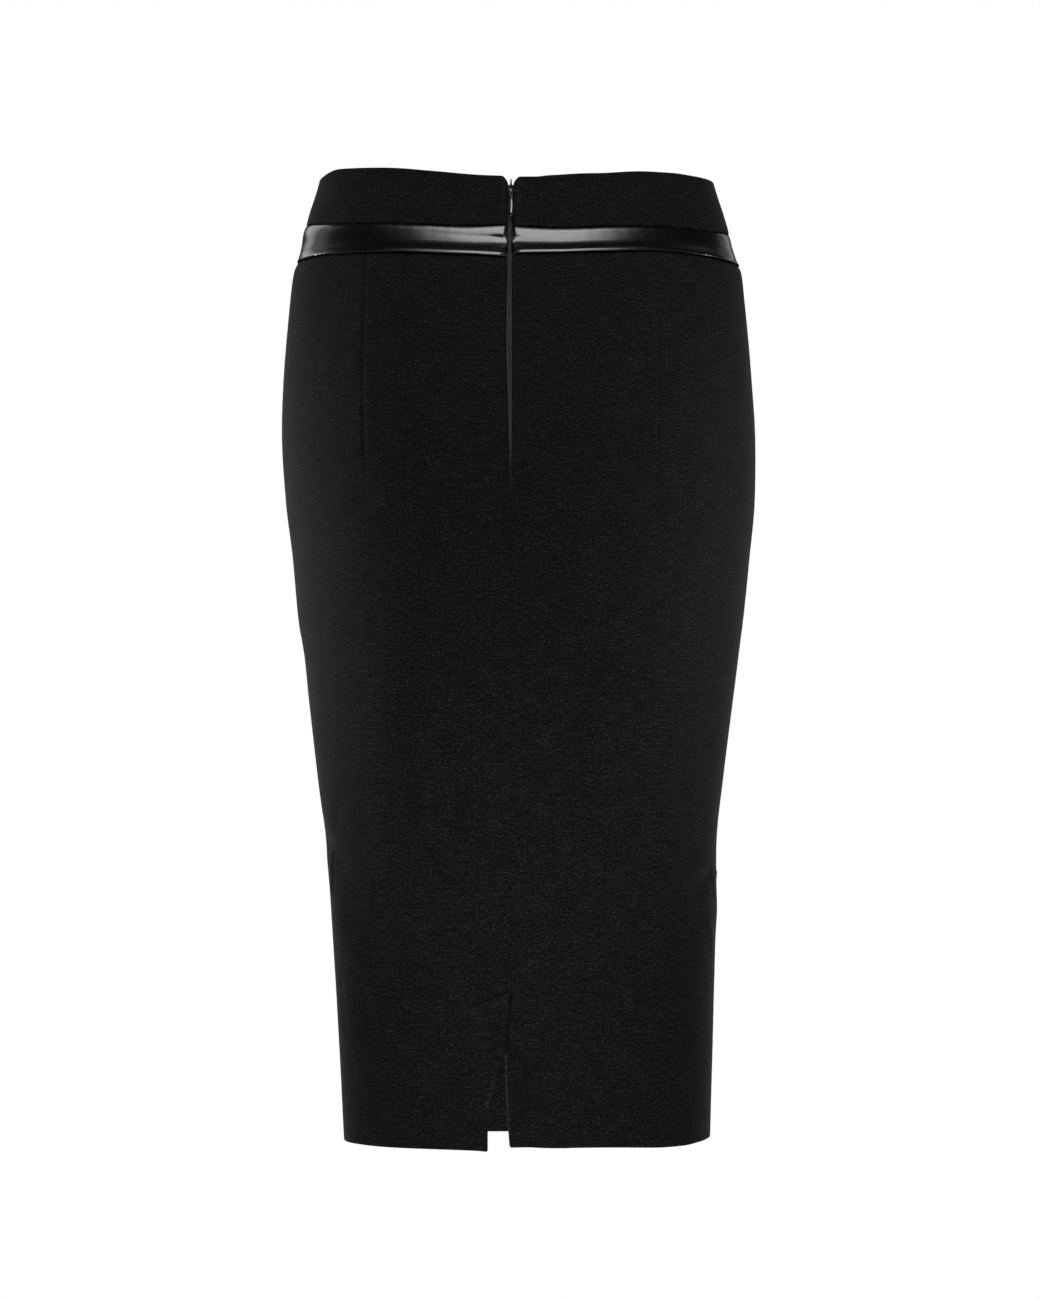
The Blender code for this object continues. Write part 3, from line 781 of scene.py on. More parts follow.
def knit_material(settings):
    """Black double-knit jersey of viscose and nylon: matt, faintly flecked along its courses.

    The flecks give the eye a heathered black and not a flat one, and the sheen gives the pale rim
    that brushed fibres show where the cloth turns away. Real stitches are 0.7 mm, too fine to show,
    so the courses are drawn at knit_pitch.
    """
    material, tree, shader = new_material(
        "double_knit_jersey",
        roughness=0.82,
        specular_ior_level=0.08,
        sheen_weight=settings.jersey_sheen,
        sheen_roughness=0.36,
        sheen_tint=linear("#dcdcdc"),
    )
    uv = add_node(tree, "ShaderNodeUVMap", uv_map="cloth").outputs["UV"]
    pitch = settings.knit_pitch / MM
    flecks = stretched_noise(tree, uv, pitch, 1.55, 2.0, 0.6)
    courses = stretched_noise(tree, uv, pitch, 9.0, 1.0, 0.5)
    clouds = stretched_noise(tree, uv, 16.0, 1.6, 3.0, 0.6)
    mix = add_node(
        tree,
        "ShaderNodeMath",
        links=((0, courses), (2, flecks)),
        operation="MULTIPLY_ADD",
        inputs={1: 0.35},
    ).outputs[0]
    tone = ramp(
        tree, mix, ((0.44, "#030303"), (0.60, "#0b0b0b"), (0.72, "#121212"), (0.90, "#242424"))
    )
    shade = ramp(tree, clouds, ((0.30, "#dadada"), (0.70, "#ffffff")))
    tone = add_node(
        tree,
        "ShaderNodeMix",
        data_type="RGBA",
        blend_type="MULTIPLY",
        links=((6, tone), (7, shade)),
        inputs={0: 1.0},
    ).outputs[2]
    # The pale attribute scales the knit's tone: it carries the paler wrong side, which is partly painted
    # light, and the painted highlight and shade at the vent.
    pale = add_node(tree, "ShaderNodeAttribute", attribute_name="pale").outputs["Fac"]
    paler = add_node(
        tree, "ShaderNodeMath", links=((0, pale),), operation="ADD", inputs={1: 1.0}
    ).outputs[0]
    tone = add_node(
        tree, "ShaderNodeVectorMath", links=((0, tone), ("Scale", paler)), operation="SCALE"
    ).outputs[0]
    tree.links.new(tone, shader.inputs["Base Color"])
    raise_surface(tree, shader, (mix, 0.5, 0.35))
    return material


def band_material(settings):
    """Black polyurethane-coated cloth, calendered to a gloss, as on leather-look trims.

    Its fine pebble breaks a reflection into soft grain, and its uneven gloss keeps the highlight
    from looking like varnish.
    """
    material, tree, shader = new_material(
        "polyurethane_coated_cloth",
        base_color=linear("#030303"),
        specular_ior_level=0.3,
        coat_weight=1.0,
        coat_roughness=0.24,
    )
    uv = add_node(tree, "ShaderNodeUVMap", uv_map="cloth").outputs["UV"]
    pebble = stretched_noise(tree, uv, 1.5, 1.1, 3.0, 0.6)
    wave = stretched_noise(tree, uv, 7.0, 2.2, 2.0, 0.5)
    uneven_gloss(tree, shader, pebble, settings.band_gloss, 0.30)
    raise_surface(tree, shader, (pebble, 0.30, 0.10), (wave, 0.35, 0.5))
    return material


def tape_material():
    """Woven polyester zip tape, dyed black: a fine crosswise rib and a slight sheen."""
    material, tree, shader = new_material(
        "woven_polyester_tape", roughness=0.62, specular_ior_level=0.35, sheen_weight=0.15
    )
    rib = bands(tree, 0.9, "Z", Distortion=0.6, Detail=1.0)
    tone = ramp(tree, rib, ((0.2, "#1b1b1c"), (0.8, "#323233")))
    tree.links.new(tone, shader.inputs["Base Color"])
    raise_surface(tree, shader, (rib, 0.5, 0.1))
    return material


def nylon_material():
    """Dyed nylon monofilament, heat-set into a coil: dark and satin."""
    material, tree, shader = new_material("nylon_monofilament", roughness=0.38, ior=1.53)
    tone = ramp(tree, fine_noise(tree, 900.0), ((0.35, "#151516"), (0.65, "#262627")))
    tree.links.new(tone, shader.inputs["Base Color"])
    return material


def thread_material():
    """Spun polyester sewing thread, black: its plies twist across the stitch."""
    material, tree, shader = new_material(
        "spun_polyester_thread", roughness=0.7, sheen_weight=0.08, specular_ior_level=0.2
    )
    tone = ramp(tree, bands(tree, 0.5, "DIAGONAL"), ((0.2, "#0a0a0b"), (0.8, "#18181a")))
    tree.links.new(tone, shader.inputs["Base Color"])
    return material


def lacquer_material():
    """Black baked lacquer on die-cast zinc: a deep, slightly orange-peeled gloss."""
    material, tree, shader = new_material("baked_lacquer_on_zinc", coat_weight=1.0, coat_roughness=0.06)
    peel = fine_noise(tree, 1400.0)
    tone = ramp(tree, peel, ((0.3, "#0b0b0c"), (0.7, "#161617")))
    tree.links.new(tone, shader.inputs["Base Color"])
    uneven_gloss(tree, shader, peel, 0.16, 0.28)
    raise_surface(tree, shader, (peel, 0.15, 0.05))
    return material


def material_called(name, make, *settings):
    """The finish of that name, made the first time it is asked for."""
    return bpy.data.materials.get(name) or make(*settings)


# ---------------------------------------------------------------------------------------------
# What repeats, made with Geometry Nodes


def add_input(tree, name, kind, default=None):
    socket = tree.interface.new_socket(name=name, in_out="INPUT", socket_type=kind)
    if default is not None:
        socket.default_value = default
    return socket.identifier


def repeat_tree(name):
    """A tree that sets copies of a unit along a line, turned to its outward direction.

    The line is a run of edges whose points carry the vector attribute outward. A copy's X runs
    along the line and its Z points outwards.
    """
    tree = bpy.data.node_groups.new(name, "GeometryNodeTree")
    keys = {
        "Geometry": add_input(tree, "Geometry", "NodeSocketGeometry"),
        "Unit": add_input(tree, "Unit", "NodeSocketObject"),
        "Spacing": add_input(tree, "Spacing", "NodeSocketFloat", 0.0025),
        "Lean": add_input(tree, "Lean", "NodeSocketFloat", 0.0),
        "Unevenness": add_input(tree, "Unevenness", "NodeSocketFloat", 0.0),
        "Seed": add_input(tree, "Seed", "NodeSocketInt", 1),
        "Material": add_input(tree, "Material", "NodeSocketMaterial"),
    }
    tree.interface.new_socket(name="Geometry", in_out="OUTPUT", socket_type="NodeSocketGeometry")
    given = tree.nodes.new("NodeGroupInput").outputs
    line = add_node(tree, "GeometryNodeMeshToCurve", links=(("Mesh", given["Geometry"]),))
    points = add_node(
        tree,
        "GeometryNodeCurveToPoints",
        mode="LENGTH",
        links=(("Curve", line.outputs["Curve"]), ("Length", given["Spacing"])),
    )
    outward = add_node(
        tree, "GeometryNodeInputNamedAttribute", data_type="FLOAT_VECTOR", inputs={"Name": "outward"}
    )
    aimed = add_node(
        tree,
        "FunctionNodeAlignRotationToVector",
        axis="Z",
        links=(("Vector", outward.outputs["Attribute"]),),
    )
    along = add_node(
        tree,
        "FunctionNodeAlignRotationToVector",
        axis="X",
        pivot_axis="Z",
        links=(("Rotation", aimed.outputs["Rotation"]), ("Vector", points.outputs["Tangent"])),
    )
    jitter = add_node(
        tree,
        "FunctionNodeRandomValue",
        data_type="FLOAT",
        links=(("Seed", given["Seed"]),),
        inputs={2: -1.0, 3: 1.0},
    )
    sway = add_node(
        tree,
        "ShaderNodeMath",
        operation="MULTIPLY_ADD",
        links=((0, jitter.outputs[1]), (1, given["Unevenness"]), (2, given["Lean"])),
    )
    lean = add_node(tree, "ShaderNodeCombineXYZ", links=(("Z", sway.outputs[0]),))
    turned = add_node(
        tree,
        "FunctionNodeRotateRotation",
        rotation_space="LOCAL",
        links=(("Rotation", along.outputs["Rotation"]), ("Rotate By", lean.outputs[0])),
    )
    unit = add_node(tree, "GeometryNodeObjectInfo", links=(("Object", given["Unit"]),))
    copies = add_node(
        tree,
        "GeometryNodeInstanceOnPoints",
        links=(
            ("Points", points.outputs["Points"]),
            ("Instance", unit.outputs["Geometry"]),
            ("Rotation", turned.outputs["Rotation"]),
        ),
    )
    whole = add_node(
        tree, "GeometryNodeRealizeInstances", links=(("Geometry", copies.outputs["Instances"]),)
    )
    painted = add_node(
        tree,
        "GeometryNodeSetMaterial",
        links=(("Geometry", whole.outputs["Geometry"]), ("Material", given["Material"])),
    )
    add_node(tree, "NodeGroupOutput", links=(("Geometry", painted.outputs["Geometry"]),))
    return tree, keys


def line_object(name, points, outward):
    """Runs of points, in millimetres, as edges that carry their outward direction."""
    mesh = bpy.data.meshes.new(name)
    edges, start = [], 0
    for run in points:
        edges += [(start + i, start + i + 1) for i in range(len(run) - 1)]
        start += len(run)
    mesh.from_pydata((np.concatenate(points) * MM).tolist(), edges, [])
    attribute = mesh.attributes.new("outward", "FLOAT_VECTOR", "POINT")
    attribute.data.foreach_set("vector", np.concatenate(outward).ravel())
    return new_object(name, mesh)


def repeated(name, points, outward, unit, spacing, material, lean=0.0, unevenness=0.0, seed=1):
    """Copies of a unit object along runs of points, as one plain mesh object."""
    tree, keys = repeat_tree(name + "_tree")
    line = line_object(name + "_line", points, outward)
    step = line.modifiers.new("repeat", "NODES")
    step.node_group = tree
    values = {
        "Unit": unit,
        "Spacing": spacing * MM,
        "Lean": lean,
        "Unevenness": unevenness,
        "Seed": seed,
        "Material": material,
    }
    for key, value in values.items():
        step[keys[key]] = value
    bpy.context.view_layer.update()
    graph = bpy.context.evaluated_depsgraph_get()
    mesh = bpy.data.meshes.new_from_object(line.evaluated_get(graph))
    mesh.name = name
    mesh.shade_smooth()
    bpy.data.objects.remove(line)
    bpy.data.objects.remove(unit)
    return new_object(name, mesh, material)


def ring_faces(bm, rings, closed):
    """Skins a list of like rings of vertices, and closes the skin on itself or with two caps."""
    for near, far in zip(rings, rings[1:] + rings[:1] if closed else rings[1:]):
        for s in range(len(near)):
            t = (s + 1) % len(near)
            bm.faces.new((near[s], near[t], far[t], far[s]))
    if not closed:
        bm.faces.new(rings[0][::-1])
        bm.faces.new(rings[-1])


def closed_mesh(bm, name):
    """A mesh of what bm holds, with its faces turned outwards."""
    bmesh.ops.recalc_face_normals(bm, faces=bm.faces)
    mesh = bpy.data.meshes.new(name)
    bm.to_mesh(mesh)
    bm.free()
    return mesh


def swept_unit(name, path, thickness, sides):
    """A short round-ended wire along a path of points, in millimetres, as a unit to repeat."""
    path = np.array(path, float)
    tangent = np.gradient(path, axis=0)
    tangent /= np.linalg.norm(tangent, axis=1, keepdims=True)
    bm = bmesh.new()
    rings = []
    for k, (point, along) in enumerate(zip(path, tangent)):
        along = Vector(along)
        side = along.cross(Vector((0.12, 0.21, 0.97))).normalized()
        up = side.cross(along)
        end = k in (0, len(path) - 1)
        size = thickness / 2 * (0.45 if end else 1.0)
        ring = []
        for s in range(sides):
            angle = 2 * math.pi * s / sides
            away = (side * math.cos(angle) + up * math.sin(angle)) * size
            ring.append(bm.verts.new((Vector(point) + away) * MM))
        rings.append(ring)
    ring_faces(bm, rings, closed=False)
    return new_object(name, closed_mesh(bm, name))


def stitch_unit(name, length, thickness, sink=0.5):
    """One stitch: a thread that comes up, lies along X and goes down again."""
    share = np.linspace(-1, 1, 7)
    path = [(s * length / 2, 0, -sink * thickness * abs(s) ** 3) for s in share]
    return swept_unit(name, path, thickness, 7)


# ---------------------------------------------------------------------------------------------
# Cloth pieces


# A distance at which nothing beside the zip shows, for the front pieces.
FAR = 1000.0


def edge_roll(distance, depth, width):
    """The way cloth sinks towards a seam."""
    return -depth * np.exp(-np.maximum(distance, 0) / width)


def seam_pucker(along, away, pitch, phase):
    """Small puckers that sewing leaves beside a seam."""
    wave = np.sin(2 * np.pi * along / pitch + 1.1 * np.sin(along / 31 + phase) + phase)
    return 0.07 * wave * np.exp(-np.maximum(away, 0) / 6.0)


def across_mm(turns, z, seam_turn):
    """Distance over the cloth from a seam at that turn."""
    return np.abs(wrapped(turns - seam_turn)) * math.pi / 180 * radius(turns, z)


# The slanted seam that holds the vent's facing: a place near its upper end, and its slope.
VENT_SEAM_X = -4.5
VENT_SEAM_Z = -584.6
VENT_SEAM_SLOPE = 0.42


def vent_seam_z(x):
    """Height of the slanted seam at the top of the vent, over the left panel."""
    return VENT_SEAM_Z + (x - VENT_SEAM_X) * VENT_SEAM_SLOPE


def on_vent_seam(x):
    """1 along the slanted seam and 0 past its two ends."""
    return smooth_step(-31.0, -26.0, x) * smooth_step(1.0, -2.0, x)


def facing_ridge(x, z):
    """The vent's facing under the left flap: its edge shows as a low step under a slanted seam."""
    below = smooth_step(0.6, 2.6, vent_seam_z(x) - z)
    beside = smooth_step(-32.0, -27.0, x)
    return 0.34 * below * beside


def vent_seam_groove(x, z):
    """The slanted seam that holds the facing: a sharp step down, and a soft rise below it."""
    above = z - vent_seam_z(x)
    return -1.5 * np.exp(-np.where(above > 0, above / 0.7, -above / 2.6)) * on_vent_seam(x)


def vent_seam_painted_shade_and_highlight(x, z):
    """Painted shadow along the slanted seam, and a painted highlight below it where the facing's step
    catches the light.
    """
    above = z - vent_seam_z(x)
    return (0.35 * bell(above + 3.2, 1.6) - 0.5 * bell(above, 0.9)) * on_vent_seam(x)


def vent_head_step(side, from_centre, z):
    """Above the vent the left fold lies proud and the right panel's edge sinks beside it."""
    on_fold = smooth_step(-580.0, -592.0, z) * smooth_step(-630.0, -624.0, z)
    if side < 0:
        return 0.7 * bell(np.maximum(from_centre, 0), 5.0) * on_fold
    return -4.2 * bell(np.maximum(from_centre, 0), 2.0) * on_fold


def vent_edge_painted_highlight(side, from_centre, z):
    """Painted highlight along the vent's two edges, where they catch the light: how much paler the cloth is
    made there.
    """
    if side < 0:
        on_edge = smooth_step(-640.0, -650.0, z) * smooth_step(-672.0, -660.0, z)
        return 0.28 * EDGE_HIGHLIGHT_PAINT * bell(from_centre, 2.0) * on_edge
    on_edge = smooth_step(-626.0, -629.0, z) * smooth_step(-696.0, -674.0, z)
    return EDGE_HIGHLIGHT_PAINT * bell(from_centre, 0.9) * on_edge


def panel_inside(turns, z, seam_away):
    """Depth through a panel: one layer, two at the turned-up hem and beside a seam."""
    top = np.where(np.cos(np.radians(turns)) > 0, BACK_HEM, FRONT_HEM) + hem_edge(turns)
    hem = smooth_step(top + 0.5, top - 0.5, z)
    allowance = smooth_step(13.0, 12.0, seam_away)
    return PANEL_WALL - KNIT_LAYER + KNIT_LAYER * np.maximum(hem, allowance)


def from_side_seams(turns, z):
    """Distance over the cloth of a front piece from the nearer side seam."""
    return np.minimum(across_mm(turns, z, 90), across_mm(turns, z, -90))


def in_turn_order(side, *grids):
    """A back piece's grids with their columns in order of turn, so that its faces look outwards."""
    return grids if side > 0 else tuple(grid[:, ::-1] for grid in grids)


# Rows of a panel as lengths and pitches: closest together about the top of the vent.
PANEL_ROWS = ((517, 2.6), (34, 0.9), (88, 2.8))
DART_SINK = 0.45
DART_SHOULDER = 0.10


def dart_lift(from_dart, z):
    """A dart: its seam lies in a fine groove between two low shoulders and ends in a dimple."""
    dart_on = smooth_step(DART_END_Z, DART_END_Z + 42, z)
    dimple = bell(z - DART_END_Z, 12) * bell(from_dart, 7)
    relief = -DART_SINK * bell(from_dart, 1.0) + DART_SHOULDER * bell(np.abs(from_dart) - 4, 3)
    return dart_on * (relief + seam_pucker(z, np.abs(from_dart), 12, 0.5)) - 0.55 * dimple


def make_back_panel(side, material):
    def near_side(z):
        return section["middle_x"](z) + side * 0.972 * section["half_width"](z)

    inset = PANEL_WALL / 2
    stops = (
        (lambda z: side * 36.0 + 0 * z, 36, 2.2),
        (lambda z: side * dart_line(z), 70, 3.4),
        (near_side, 97, 3.4),
        (None, 33, 1.7),
    )
    turns, z = settled(
        lambda rows: back_turns(side, rows, stops, inset),
        moved(band_foot, -SEAM_GAP / 2 - inset),
        moved(hem_edge, inset),
        run_of_shares(PANEL_ROWS),
    )
    x = cloth_point(turns, z)[..., 0]
    from_centre = np.abs(x - seam_x(side, z))
    from_side = across_mm(turns, z, side * 90)
    from_top = band_foot(turns) - z
    lift = worn_lift(turns, z)
    lift += edge_roll(from_centre, 0.35, 3.0) + edge_roll(from_side, 0.35, 4.0)
    lift += edge_roll(from_top, 0.55, 3.0) + vent_head_step(side, from_centre, z)
    lift += seam_pucker(z, from_centre, 11, 0.4 * side) + seam_pucker(z, from_side, 13, 1.9)
    lift += dart_lift(np.abs(x) - dart_line(z), z)
    # Painted highlight on the vent's edges, where they catch the light.
    pale = vent_edge_painted_highlight(side, from_centre, z)
    if side < 0:
        lift += facing_ridge(x, z) + vent_seam_groove(x, z)
        # Painted shadow along the slanted seam and a painted highlight just below it.
        pale += vent_seam_painted_shade_and_highlight(x, z)
    depth = panel_inside(turns, z, np.minimum(from_centre, from_side))
    turns, z, lift, depth, pale = in_turn_order(side, turns, z, lift, depth, pale)
    name = "back_panel_" + side_name(side)
    return cloth_piece("cloth_" + name, turns, z, lift, depth, material, name, pale)


def make_front_panel(material):
    inset = PANEL_WALL / 2
    turns, z = settled(
        lambda rows: front_turns(rows, 470, 4.0, inset),
        moved(band_foot, -SEAM_GAP / 2 - inset),
        moved(hem_edge, inset),
        run_of_shares(((550, 4.0), (88, 3.4))),
    )
    from_side = from_side_seams(turns, z)
    from_top = band_foot(turns) - z
    lift = worn_lift(turns, z)
    lift += edge_roll(from_side, 0.35, 4.0) + edge_roll(from_top, 0.55, 3.0)
    lift += seam_pucker(z, from_side, 13, 1.9)
    depth = panel_inside(turns, z, from_side)
    return cloth_piece("cloth_front_panel", turns, z, lift, depth, material, "front_panel")


def yoke_lift(turns, z, from_centre, from_side):
    from_foot = z - band_top(turns)
    from_waist = waist_edge(turns) - z
    lift = worn_lift(turns, z)
    lift += edge_roll(from_foot, 0.50, 3.0) + edge_roll(from_side, 0.35, 4.0)
    lift += edge_roll(from_centre, 0.30, 2.5) + edge_roll(from_waist, 0.20, 2.0)
    lift += seam_pucker(turns * DEGREE, from_foot, 10, 0.3)
    return lift


def make_back_yoke(side, material):
    inset = YOKE_WALL / 2
    stops = ((lambda z: side * 9.0 + 0 * z, 8, 1.2), (None, 200, 3.0))
    turns, z = settled(
        lambda rows: back_turns(side, rows, stops, inset),
        moved(waist_edge, -inset),
        moved(band_top, SEAM_GAP / 2 + inset),
        run_of_shares(((38, 1.8),)),
    )
    x = cloth_point(turns, z)[..., 0]
    from_side = across_mm(turns, z, side * 90)
    lift = yoke_lift(turns, z, np.abs(x - seam_x(side, z)), from_side)
    turns, z, lift = in_turn_order(side, turns, z, lift)
    name = "back_yoke_" + side_name(side)
    return cloth_piece("cloth_" + name, turns, z, lift, YOKE_WALL, material, name)


def make_front_yoke(material):
    inset = YOKE_WALL / 2
    turns, z = settled(
        lambda rows: front_turns(rows, 400, 3.2, inset),
        moved(waist_edge, -inset),
        moved(band_top, SEAM_GAP / 2 + inset),
        run_of_shares(((38, 1.8),)),
    )
    far = np.full(z.shape, FAR)
    lift = yoke_lift(turns, z, far, from_side_seams(turns, z))
    return cloth_piece("cloth_front_yoke", turns, z, lift, YOKE_WALL, material, "front_yoke")


def band_lift(turns, z, x, from_centre, from_side):
    """The band's swell, its ends turned in at the zip, its creases there and its puckers."""
    height = band_top(turns) - band_foot(turns)
    share = (band_top(turns) - z) / height
    from_side_seam = np.abs(np.abs(wrapped(turns)) - 90)
    dipped = share - LIP_DROP * bell(from_centre, LIP_DROP_REACH) * smooth_step(0.70, 0.88, share)
    lift = swell(dipped) * (0.4 + 0.6 * smooth_step(2, 20, from_side_seam))
    turned_in = bell(from_centre, end_turn(share))
    lift = lift * (1 - turned_in) - BAND_END_SINK * turned_in
    for row in BAND_CREASES:
        crease = dict(zip(BAND_CREASE_COLUMNS, row))
        run = crease["x2"] - crease["x1"], (crease["share2"] - crease["share1"]) * BAND_HEIGHT
        down = (share - crease["share1"]) * height
        away, nearest = from_line(x - crease["x1"], down, run, (0, 1))
        fade = 1 - nearest * 0.8
        lift += crease["height"] * fade * bell(away, crease["width"])
    lift += edge_roll(from_side, 0.5, 2.5) + 0.7 * unevenness(turns * 1.7, z * 1.4)
    lift += 0.6 * seam_pucker(turns * DEGREE, share * height, 9, 0.9)
    return lift


def make_back_band(side, material):
    inset = BAND_WALL / 2
    stops = ((lambda z: side * 12.0 + 0 * z, 11, 0.8), (None, 200, 2.4))
    turns, z = settled(
        lambda rows: back_turns(side, rows, stops, inset),
        moved(band_top, -SEAM_GAP / 2 - inset),
        moved(band_foot, SEAM_GAP / 2 + inset),
        run_of_shares(((20, 0.65),)),
    )
    x = cloth_point(turns, z)[..., 0]
    from_side = across_mm(turns, z, side * 90)
    lift = band_lift(turns, z, x, np.abs(x - seam_x(side, z)), from_side)
    turns, z, lift = in_turn_order(side, turns, z, lift)
    name = "back_band_" + side_name(side)
    return cloth_piece("coated_" + name, turns, z, lift, BAND_WALL, material, name)


def make_front_band(material):
    inset = BAND_WALL / 2
    turns, z = settled(
        lambda rows: front_turns(rows, 420, 3.0, inset),
        moved(band_top, -SEAM_GAP / 2 - inset),
        moved(band_foot, SEAM_GAP / 2 + inset),
        run_of_shares(((22, 0.9),)),
    )
    far = np.full(z.shape, FAR)
    lift = band_lift(turns, z, far, far, from_side_seams(turns, z))
    name = "front_band"
    return cloth_piece("coated_" + name, turns, z, lift, BAND_WALL, material, name)


# ---------------------------------------------------------------------------------------------
# Seam allowances: the cut edges pressed open behind each seam, which close it from inside

ALLOWANCE_HALF = 7.0
ALLOWANCE_WALL = 0.5
# How far behind the cloth's face the allowances of each seam lie.
ALLOWANCE_DEPTHS = {"band": 3.1, "side": 3.8, "centre": 2.4}
# The band's allowances end under the zip's tapes, the side ones short of the waist and the hem, and
# the centre back one where the vent begins to part.
UNDER_TAPE_X = 11.0
SHORT_OF_WAIST = 2.5
SHORT_OF_HEM = 4
CENTRE_SEAM_END_Z = -572.0
# Millimetres of cloth in a degree of turn at the side seams.
SIDE_DEGREE = 2.05
RING_COLUMNS = 220
SIDE_ROWS = 140
CENTRE_ROWS = 80


def seam_allowance(name, turns, z, depth, material):
    lift = worn_lift(turns, z) - depth
    return cloth_piece("allowance_" + name, turns, z, lift, ALLOWANCE_WALL, material)


def make_band_allowance(name, line, across, material):
    """Strips over both edges of a seam of the band, from one tape of the zip round to the other."""
    level = float(line(0.0))
    start, end = (float(turn_at_x(gap_middle(level) + x, level)) for x in (UNDER_TAPE_X, -UNDER_TAPE_X))
    turns = np.tile(np.linspace(start, 360 + end, RING_COLUMNS), (len(across), 1))
    return seam_allowance(name, turns, line(turns) - across[:, None], ALLOWANCE_DEPTHS["band"], material)


def make_side_allowance(side, across, material):
    turns = side * 90 + np.tile(across / SIDE_DEGREE, (SIDE_ROWS, 1))
    high, low = waist_edge(turns) - SHORT_OF_WAIST, hem_edge(turns) + SHORT_OF_HEM
    z = high + (low - high) * np.linspace(0, 1, SIDE_ROWS)[:, None]
    return seam_allowance("side_" + side_name(side), turns, z, ALLOWANCE_DEPTHS["side"], material)


def make_centre_allowance(across, material):
    """The centre back's, from the end of the zip to the top of the vent."""
    z = np.tile(np.linspace(ZIP_END_Z, CENTRE_SEAM_END_Z, CENTRE_ROWS)[:, None], (1, len(across)))
    turns = turn_at_x(gap_middle(z) + across, z)
    return seam_allowance("centre_back", turns, z, ALLOWANCE_DEPTHS["centre"], material)


def make_seam_allowances(material):
    across = np.linspace(-ALLOWANCE_HALF, ALLOWANCE_HALF, 5)
    make_band_allowance("band_top", band_top, across, material)
    make_band_allowance("band_foot", band_foot, across, material)
    make_side_allowance(1, across, material)
    make_side_allowance(-1, across, material)
    make_centre_allowance(across, material)


# ---------------------------------------------------------------------------------------------
# Zip

ZIP_TOP_Z = -5.0
ZIP_END_Z = -225.0
TAPE_HALF = 12.5
ROLL_RADIUS = 0.55
ROLL_DEPTH = 1.9
TAPE_WALL = 0.36
# How far behind the cloth's face the coil, its cord and the tapes' sewing lie.
COIL_DEPTH = 4.0
CORD_DEPTH = 4.05
SEWING_DEPTH = 2.78
SEWING_X = 7.0
COIL_PITCH = 1.25
RIB_PITCH = 0.95
# How far each tape's rolled edge lies from the gap's middle: the two press together behind the
# band, part over the upper hip and close again towards the zip's end.
ROLL_COLUMNS = ("z", "offset")
ROLL = (
    (0, 0.66),
    (-33, 0.68),
    (-39, 0.60),
    (-56, 0.62),
    (-64, 0.98),
    (-86, 1.02),
    (-98, 1.30),
    (-126, 1.30),
    (-142, 1.05),
    (-160, 0.82),
    (-184, 0.62),
    (-226, 0.58),
)


def behind(x, z, depth):
    """Points that depth millimetres behind the cloth's face at x and z, and the way out there."""
    turns = turn_at_x(x, z)
    normal = normal_at(turns, z)
    return cloth_point(turns, z) - normal * np.asarray(depth)[..., None], normal


def zip_heights(pitch):
    steps = round((ZIP_TOP_Z - ZIP_END_Z) / pitch)
    return np.linspace(ZIP_TOP_Z, ZIP_END_Z, steps + 1)


roll_offset = curve_of(ROLL, ROLL_COLUMNS, "z", "offset")


def tape_shell(side, z):
    """One tape as a thin closed ribbon: a flat wing that curls into a roll at the gap."""
    angle = np.linspace(1.15, -0.62, 14) * math.pi
    wing = np.array((TAPE_HALF, 9.5, 6.5, 4.2))
    curl = roll_offset(z)[:, None] - ROLL_RADIUS * np.sin(angle)
    across = np.concatenate([np.tile(wing, (len(z), 1)), curl], axis=1)
    depth = np.concatenate([[2.5, 2.5, 2.55, 2.6], ROLL_DEPTH - ROLL_RADIUS * np.cos(angle)])
    grid_z = np.tile(z[:, None], (1, len(depth)))
    face, _ = behind(side * across + gap_middle(grid_z), grid_z, np.tile(depth, (len(z), 1)))
    return face


def ribbon_mesh(name, face, thickness, side):
    """A closed shell about a ribbon whose own direction turns as it curls."""
    along = np.gradient(face, axis=0)
    over = np.gradient(face, axis=1)
    normal = np.cross(over, along) * side
    normal /= np.linalg.norm(normal, axis=-1, keepdims=True)
    outer, inner = face + normal * thickness / 2, face - normal * thickness / 2
    mesh = shell_mesh(name, outer, inner, flat_coordinates(face), 0 * face[..., 0])
    bm = bmesh.new()
    bm.from_mesh(mesh)
    bmesh.ops.recalc_face_normals(bm, faces=bm.faces)
    bm.to_mesh(mesh)
    bm.free()
    return mesh


def make_zip_tape(material):
    z = zip_heights(3.0)
    pieces = []
    for side in (-1, 1):
        name = "zip_tape_" + side_name(side)
        face = tape_shell(side, z)
        obj = new_object(name, ribbon_mesh(name, face, TAPE_WALL, side), material)
        finish_piece(obj, "skirt", ("zip_tape",))
        pieces.append(obj)
    return pieces


def make_tape_ribs(material):
    """The crosswise ribs of the tape where it rolls: short arcs of thread."""
    z = zip_heights(2.0)
    points, outward = [], []
    for side in (-1, 1):
        place, normal = behind(gap_middle(z) + side * roll_offset(z), z, ROLL_DEPTH + 0 * z)
        points.append(place)
        outward.append(normal)
    angle = np.linspace(-0.42, 0.42, 7) * math.pi
    arc = [(0, (ROLL_RADIUS + 0.12) * math.sin(a), (ROLL_RADIUS + 0.12) * math.cos(a)) for a in angle]
    unit = swept_unit("tape_rib", arc, 0.30, 5)
    obj = repeated("zip_tape_ribs", points, outward, unit, RIB_PITCH, material, unevenness=0.05, seed=3)
    return finish_piece(obj, "skirt")


def make_coil(material):
    """The two nylon coils, hooked into each other behind the rolled tapes."""
    z = zip_heights(2.0)
    place, normal = behind(gap_middle(z), z, COIL_DEPTH + 0 * z)
    angle = np.linspace(0, 2 * math.pi, 11)
    loop = [(0.28 * math.sin(2 * a), 1.85 * math.cos(a), 0.55 * math.sin(a)) for a in angle]
    unit = swept_unit("coil_loop", loop, 0.5, 6)
    obj = repeated("zip_coil", [place], [normal], unit, COIL_PITCH, material)
    return finish_piece(obj, "skirt", ("zip_chain",))


